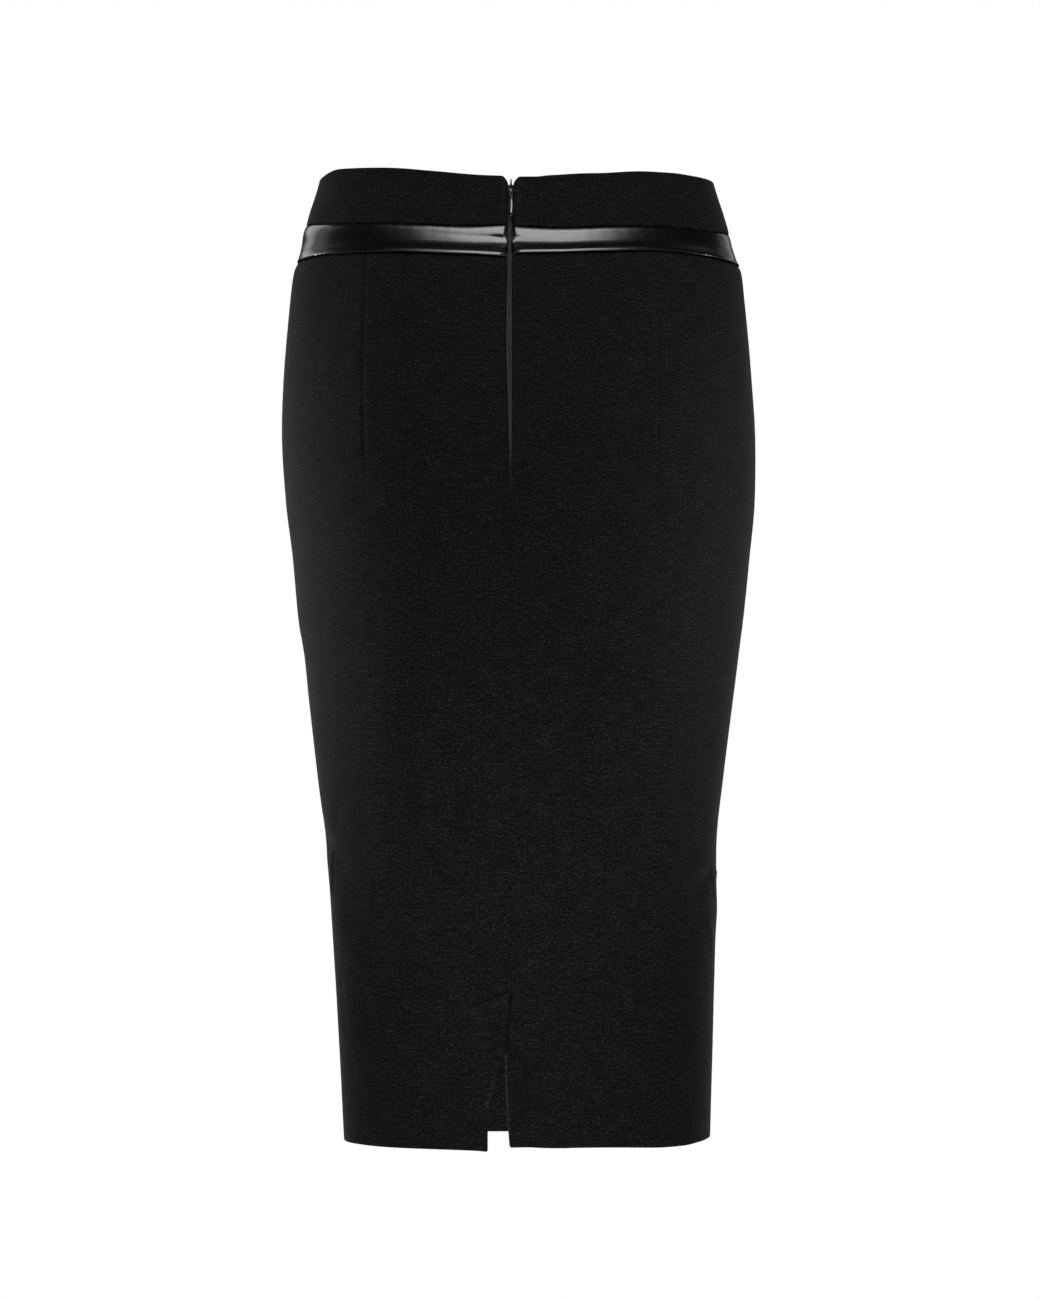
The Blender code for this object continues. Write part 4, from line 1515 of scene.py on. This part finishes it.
def make_coil_cord(material):
    """The cord that the coils are wound about, flat between them."""
    z = np.tile(zip_heights(4.0)[:, None], (1, 5))
    face, _ = behind(gap_middle(z) + np.linspace(-1.3, 1.3, 5), z, CORD_DEPTH + 0 * z)
    obj = new_object("zip_coil_cord", ribbon_mesh("zip_coil_cord", face, 0.4, 1), material)
    return finish_piece(obj, "skirt")


def bevelled_copy(node, name, material, body, width):
    """A node's form with its edges rounded as a die-cast and lacquered piece's are."""
    source = frame["nodes"][node]
    mesh = source.data.copy()
    obj = new_object(name, mesh, material)
    bm = bmesh.new()
    bm.from_mesh(mesh)
    bmesh.ops.remove_doubles(bm, verts=bm.verts, dist=0.004 * MM)
    bmesh.ops.dissolve_limit(bm, angle_limit=math.radians(2), verts=bm.verts, edges=bm.edges)
    bmesh.ops.recalc_face_normals(bm, faces=bm.faces)
    bm.to_mesh(mesh)
    bm.free()
    step = obj.modifiers.new("rounding", "BEVEL")
    step.width = width * MM
    step.segments = 3
    step.limit_method = "ANGLE"
    step.angle_limit = math.radians(35)
    step.harden_normals = True
    bpy.context.view_layer.update()
    graph = bpy.context.evaluated_depsgraph_get()
    obj.data = bpy.data.meshes.new_from_object(obj.evaluated_get(graph))
    obj.modifiers.clear()
    obj.data.name = name
    obj.data.materials.clear()
    obj.data.materials.append(material)
    obj.data.shade_smooth()
    obj.data.set_sharp_from_angle(angle=math.radians(50))
    return finish_piece(obj, body, (node,))


# The pull: a rounded eye about the slider's bridge, and a drop that swells out to its foot. Both
# are drawn about the pivot, x across, v up and w outwards.
PIVOT_Z = -10.5
PULL_LEAN = 3.5
DROP_COLUMNS = ("v", "half", "front", "crest")
DROP = (
    (-3.2, 0.95, 0.62, 0.85),
    (-4.5, 0.88, 0.60, 0.90),
    (-6.5, 0.92, 0.62, 0.90),
    (-9.0, 1.12, 0.84, 0.84),
    (-12.0, 1.50, 1.30, 0.52),
    (-14.5, 1.80, 1.70, 0.22),
    (-16.5, 1.72, 1.90, 0.12),
    (-17.6, 1.40, 1.78, 0.08),
    (-18.3, 0.95, 1.35, 0.04),
    (-18.7, 0.45, 0.80, 0.00),
)
DROP_BACK = 0.45
EYE_MIDDLE = -1.75
EYE_REACH = (1.08, 1.76)
EYE_WIRE = (0.28, 0.40)
DROP_SIDES = 24


def at_pull(points):
    """Points drawn about the pull's pivot, in millimetres, in the skirt's frame."""
    joint = next(j for j in frame["joints"] if j["name"] == "pull_tab_hinge")
    normal = normal_at(turn_at_x(0.0, PIVOT_Z), PIVOT_Z)
    rise = math.atan2(normal[2], -normal[1]) + math.radians(PULL_LEAN)
    up = np.array((0.0, math.sin(rise), math.cos(rise)))
    out = np.array((0.0, -math.cos(rise), math.sin(rise)))
    x, v, w = np.moveaxis(points, -1, 0)[..., None]
    return np.array(joint["pos_m"]) / MM + x * np.array((1.0, 0.0, 0.0)) + v * up + w * out


def make_pull(material):
    shape = {name: curve_of(DROP, DROP_COLUMNS, "v", name) for name in DROP_COLUMNS[1:]}
    v = np.concatenate([np.linspace(DROP[0][0], -16.5, 34), np.linspace(-16.8, DROP[-1][0], 10)])
    v = v[:, None]
    angle = np.linspace(0, 2 * math.pi, DROP_SIDES, endpoint=False)[None, :]
    face = np.maximum(np.sin(angle), 0)
    x = shape["half"](v) * (np.cos(angle) + shape["crest"](v) * face * (1 - np.cos(angle) ** 2))
    w = shape["front"](v) * face**0.8 - DROP_BACK * np.maximum(-np.sin(angle), 0) ** 0.5
    drop = np.stack([x, v + 0 * x, w], axis=-1)
    along = np.linspace(0, 2 * math.pi, 32, endpoint=False)[:, None]
    around = np.linspace(0, 2 * math.pi, 10, endpoint=False)[None, :]
    wire = EYE_WIRE[0] * np.cos(around)
    eye_x = (EYE_REACH[0] + wire) * np.cos(along)
    eye_v = EYE_MIDDLE + (EYE_REACH[1] + wire) * np.sin(along)
    eye = np.stack([eye_x, eye_v, EYE_WIRE[1] * np.sin(around) + 0 * eye_x], axis=-1)
    bm = bmesh.new()
    for grid, closed in ((drop, False), (eye, True)):
        rings = [[bm.verts.new(Vector(p) * MM) for p in ring] for ring in at_pull(grid)]
        ring_faces(bm, rings, closed)
    mesh = closed_mesh(bm, "lacquered_pull")
    mesh.shade_smooth()
    obj = new_object("lacquered_pull", mesh, material)
    return finish_piece(obj, "pull_tab", ("zip_pull",))


# ---------------------------------------------------------------------------------------------
# Stitching


def make_vent_stitches(material, length):
    """The slanted row of stitches that holds the vent's facing."""
    x = np.linspace(-27.5, -3.5, 24)
    z = vent_seam_z(x)
    turns = turn_at_x(x, z)
    lift = worn_lift(turns, z) + vent_seam_groove(x, z)
    lift += facing_ridge(x, z)
    place, normal = behind(x, z, 0.05 - lift)
    unit = stitch_unit("vent_stitch", length * 0.86, 0.30)
    return repeated("vent_stitches", [place], [normal], unit, length, material, unevenness=0.06, seed=5)


# Runs of overlock along the top of the hem: from turn to turn, in so many points.
OVERLOCK_COLUMNS = ("start", "end", "points", "hem")
OVERLOCK = (
    (-86.0, -17.0, 60, BACK_HEM),
    (-2.0, 86.0, 70, BACK_HEM),
    (94.0, 266.0, 130, FRONT_HEM),
)
OVERLOCK_BELOW = 1.0


def make_hem_stitches(material, length):
    """Overlock along the top of the turned-up hem, inside all round."""
    runs, ways = [], []
    for row in OVERLOCK:
        run = dict(zip(OVERLOCK_COLUMNS, row))
        turns = np.linspace(run["start"], run["end"], run["points"])
        z = hem_edge(turns) + run["hem"] - OVERLOCK_BELOW
        normal = normal_at(turns, z)
        runs.append(cloth_point(turns, z) - normal * (PANEL_WALL + 0.12))
        ways.append(-normal)
    unit = stitch_unit("overlock_stitch", 3.0, 0.34)
    return repeated("hem_overlock", runs, ways, unit, length, material, lean=1.05, unevenness=0.10, seed=7)


def make_zip_stitches(material, length):
    """The rows that sew each tape to the cloth, seen inside."""
    z = zip_heights(4.0)
    runs, ways = [], []
    for side in (-1, 1):
        place, normal = behind(gap_middle(z) + side * SEWING_X, z, SEWING_DEPTH + 0 * z)
        runs.append(place)
        ways.append(-normal)
    unit = stitch_unit("tape_stitch", length * 0.8, 0.36)
    return repeated("zip_stitches", runs, ways, unit, length, material, unevenness=0.05, seed=9)


# ---------------------------------------------------------------------------------------------
# Settings and operators


class SkirtSettings(bpy.types.PropertyGroup):
    """What a user would change on the skirt."""

    jersey_sheen: bpy.props.FloatProperty(
        name="Jersey sheen",
        description="How pale the knit turns at grazing angles",
        default=0.05,
        min=0,
        max=1,
    )
    knit_pitch: bpy.props.FloatProperty(
        name="Knit pitch",
        description="Size of the streaks drawn for the courses of the knit",
        default=0.0013,
        min=0.0003,
        unit="LENGTH",
    )
    band_gloss: bpy.props.FloatProperty(
        name="Band roughness", description="Least roughness of the coated band", default=0.20, min=0, max=1
    )
    stitch_length: bpy.props.FloatProperty(
        name="Stitch length", description="Length of a sewn stitch", default=0.0028, min=0.001, unit="LENGTH"
    )
    edge_rounding: bpy.props.FloatProperty(
        name="Metal rounding",
        description="Radius on the edges of the slider",
        default=0.00012,
        min=0,
        unit="LENGTH",
    )


class StageSettings(bpy.types.PropertyGroup):
    """Camera, floor and light."""

    camera_distance: bpy.props.FloatProperty(
        name="Camera distance", description="From the lens to the side seams", default=5.6, unit="LENGTH"
    )
    frame_height: bpy.props.FloatProperty(
        name="Frame height",
        description="Height that the frame takes in at the side seams",
        default=0.949,
        unit="LENGTH",
    )
    floor_height: bpy.props.FloatProperty(
        name="Floor height",
        description="Height of the floor below a wearer's feet",
        default=-1.14,
        unit="LENGTH",
    )
    key_light: bpy.props.FloatProperty(
        name="Key light", description="Power of the large light above the camera", default=1.0, min=0
    )
    rim_light: bpy.props.FloatProperty(
        name="Rim light", description="Power of the side lights and fills", default=1.0, min=0
    )


def skirt():
    return bpy.context.scene.skirt_settings


def stage():
    return bpy.context.scene.skirt_stage


def jersey():
    """The skirt's knit as it is set."""
    return material_called("double_knit_jersey", knit_material, skirt())


class SKIRT_OT_panels(bpy.types.Operator):
    """Make the two back panels and the front panel"""

    bl_idname = "skirt.panels"
    bl_label = "Panels"

    def execute(self, context):
        knit = jersey()
        make_back_panel(-1, knit)
        make_back_panel(1, knit)
        make_front_panel(knit)
        return {"FINISHED"}


class SKIRT_OT_yoke(bpy.types.Operator):
    """Make the waist yoke in its three pieces"""

    bl_idname = "skirt.yoke"
    bl_label = "Waist yoke"

    def execute(self, context):
        knit = jersey()
        make_back_yoke(-1, knit)
        make_back_yoke(1, knit)
        make_front_yoke(knit)
        return {"FINISHED"}


class SKIRT_OT_band(bpy.types.Operator):
    """Make the coated hip band in its three pieces"""

    bl_idname = "skirt.band"
    bl_label = "Hip band"

    def execute(self, context):
        coated = material_called("polyurethane_coated_cloth", band_material, skirt())
        make_back_band(-1, coated)
        make_back_band(1, coated)
        make_front_band(coated)
        return {"FINISHED"}


class SKIRT_OT_allowances(bpy.types.Operator):
    """Press the seam allowances open behind the seams"""

    bl_idname = "skirt.allowances"
    bl_label = "Seam allowances"

    def execute(self, context):
        make_seam_allowances(jersey())
        return {"FINISHED"}


class SKIRT_OT_zip(bpy.types.Operator):
    """Make the zip: tapes, ribs, coil, slider and pull"""

    bl_idname = "skirt.zip"
    bl_label = "Zip"

    def execute(self, context):
        woven = material_called("woven_polyester_tape", tape_material)
        nylon = material_called("nylon_monofilament", nylon_material)
        lacquer = material_called("baked_lacquer_on_zinc", lacquer_material)
        make_zip_tape(woven)
        make_tape_ribs(woven)
        make_coil(nylon)
        make_coil_cord(nylon)
        rounding = skirt().edge_rounding / MM
        bevelled_copy("zip_slider", "lacquered_slider", lacquer, "skirt", rounding)
        make_pull(lacquer)
        return {"FINISHED"}


class SKIRT_OT_stitching(bpy.types.Operator):
    """Sew the vent, the hem and the zip tapes"""

    bl_idname = "skirt.stitching"
    bl_label = "Stitching"

    def execute(self, context):
        thread = material_called("spun_polyester_thread", thread_material)
        length = skirt().stitch_length / MM
        for piece in (
            make_vent_stitches(thread, length),
            make_hem_stitches(thread, length),
            make_zip_stitches(thread, length),
        ):
            finish_piece(piece, "skirt")
        return {"FINISHED"}


def aimed_light(name, kind, azimuth, elevation, distance, target):
    """A light, unseen itself. Azimuth 0 is the wearer's back, positive to the right."""
    a, e = math.radians(azimuth), math.radians(elevation)
    way = Vector((math.sin(a) * math.cos(e), -math.cos(a) * math.cos(e), math.sin(e)))
    obj = bpy.data.objects.new(name, bpy.data.lights.new(name, kind))
    bpy.context.scene.collection.objects.link(obj)
    obj.location = Vector(target) + way * distance
    obj.rotation_euler = way.to_track_quat("Z", "Y").to_euler()
    obj.visible_camera = False
    return obj


def soft_light(name, azimuth, elevation, distance, size, radiance, target=(0.0, 0.0, -0.3)):
    """A rectangular softbox."""
    light = aimed_light(name, "AREA", azimuth, elevation, distance, target).data
    light.shape = "RECTANGLE"
    light.size, light.size_y = size
    light.energy = radiance * math.pi * size[0] * size[1]


def fill_spot(name, azimuth, power, height, spread, mirrored=True):
    """A soft-edged spot on the panels at that height, narrow enough to stay clear of the band."""
    obj = aimed_light(name, "SPOT", azimuth, 0, 2.0, (0.0, 0.0, height))
    obj.data.energy = power
    obj.data.spot_size = math.radians(spread)
    obj.data.spot_blend = 1.0
    obj.data.shadow_soft_size = 0.2
    obj.visible_glossy = mirrored


def make_world():
    """White behind the object for the camera, and a dim studio for everything else."""
    world = bpy.data.worlds.new("white_cyclorama")
    bpy.context.scene.world = world
    world.use_nodes = True
    tree = world.node_tree
    seen = tree.nodes["Background"]
    seen.inputs["Color"].default_value = (1, 1, 1, 1)
    seen.inputs["Strength"].default_value = 1.0
    dim = add_node(tree, "ShaderNodeBackground", inputs={"Color": (1, 1, 1, 1), "Strength": 0.02})
    path = add_node(tree, "ShaderNodeLightPath")
    mix = add_node(
        tree,
        "ShaderNodeMixShader",
        links=(
            ("Fac", path.outputs["Is Camera Ray"]),
            (1, dim.outputs["Background"]),
            (2, seen.outputs["Background"]),
        ),
    )
    tree.links.new(mix.outputs["Shader"], tree.nodes["World Output"].inputs["Surface"])


def make_floor(height):
    """A round, pale, matt floor."""
    bm = bmesh.new()
    bmesh.ops.create_circle(bm, cap_ends=True, segments=96, radius=2.6)
    bmesh.ops.translate(bm, verts=bm.verts, vec=(0, 0, height))
    mesh = bpy.data.meshes.new("studio_floor")
    bm.to_mesh(mesh)
    bm.free()
    material, _, _ = new_material(
        "matt_white_paint", base_color=linear("#f4f4f2"), roughness=0.9, specular_ior_level=0.1
    )
    new_object("studio_floor", mesh, material)


# Where the camera stands across and in height, and the height that the waist's lights aim at.
CAMERA_X = 0.0066
CAMERA_Z = -0.339
WAIST_TARGET_Z = -0.05


class SKIRT_OT_stage(bpy.types.Operator):
    """Set up the camera, the floor and the studio light"""

    bl_idname = "skirt.stage"
    bl_label = "Stage"

    def execute(self, context):
        settings = stage()
        make_world()
        make_floor(settings.floor_height)
        key, rim = settings.key_light, settings.rim_light
        waist = (0.0, 0.0, WAIST_TARGET_Z)
        soft_light("key_softbox", 3, 53, 3.0, (1.8, 2.8), 3.9 * key, waist)
        soft_light("key_wings", 2, 53, 3.0, (3.0, 2.8), 1.6 * key, waist)
        soft_light("floor_bounce", 0, -89.9, 0.8, (1.4, 1.4), 1.1 * key)
        soft_light("left_strip", -138, 23, 2.0, (0.9, 1.0), 1.05 * rim, waist)
        soft_light("left_wing", -111, 22, 2.0, (0.65, 1.3), 0.36 * rim, waist)
        soft_light("right_strip", 148.5, 14, 2.0, (0.45, 0.7), 0.43 * rim, waist)
        soft_light("right_wing", 128, 3, 2.0, (0.9, 1.2), 0.19 * rim, (0.0, 0.0, -0.1))
        fill_spot("left_fill", -105, 300 * rim, -0.25, 14.0)
        fill_spot("back_fill", 0, 95 * rim, -0.50, 19, mirrored=False)
        fill_spot("right_fill", 90, 215 * rim, -0.26, 14.0)
        camera = bpy.data.cameras.new("studio_camera")
        camera.sensor_width = 36.0
        camera.lens = camera.sensor_width * settings.camera_distance / settings.frame_height
        obj = bpy.data.objects.new("studio_camera", camera)
        context.scene.collection.objects.link(obj)
        obj.location = (CAMERA_X, -settings.camera_distance, CAMERA_Z)
        obj.rotation_euler = (math.radians(90), 0, 0)
        context.scene.camera = obj
        context.scene.view_settings.view_transform = "Standard"
        context.scene.view_settings.look = "None"
        return {"FINISHED"}


class SKIRT_PT_sidebar(bpy.types.Panel):
    """Lists the skirt's pieces and settings in the sidebar"""

    bl_idname = "SKIRT_PT_sidebar"
    bl_label = "Pencil Skirt"
    bl_space_type = "VIEW_3D"
    bl_region_type = "UI"
    bl_category = "Skirt"

    def draw(self, context):
        for settings in (context.scene.skirt_settings, context.scene.skirt_stage):
            for name in settings.__annotations__:
                self.layout.prop(settings, name)
        for operator in OPERATORS:
            self.layout.operator(operator.bl_idname)


OPERATORS = (
    SKIRT_OT_stage,
    SKIRT_OT_panels,
    SKIRT_OT_yoke,
    SKIRT_OT_band,
    SKIRT_OT_allowances,
    SKIRT_OT_zip,
    SKIRT_OT_stitching,
)
CLASSES = (SkirtSettings, StageSettings) + OPERATORS + (SKIRT_PT_sidebar,)


def register():
    for cls in CLASSES:
        bpy.utils.register_class(cls)
    bpy.types.Scene.skirt_settings = bpy.props.PointerProperty(type=SkirtSettings)
    bpy.types.Scene.skirt_stage = bpy.props.PointerProperty(type=StageSettings)


def unregister():
    del bpy.types.Scene.skirt_stage
    del bpy.types.Scene.skirt_settings
    for cls in reversed(CLASSES):
        bpy.utils.unregister_class(cls)


def main():
    register()
    bpy.ops.skirt.stage()
    bpy.ops.skirt.panels()
    bpy.ops.skirt.yoke()
    bpy.ops.skirt.band()
    bpy.ops.skirt.allowances()
    bpy.ops.skirt.zip()
    bpy.ops.skirt.stitching()


if __name__ == "__main__":
    main()
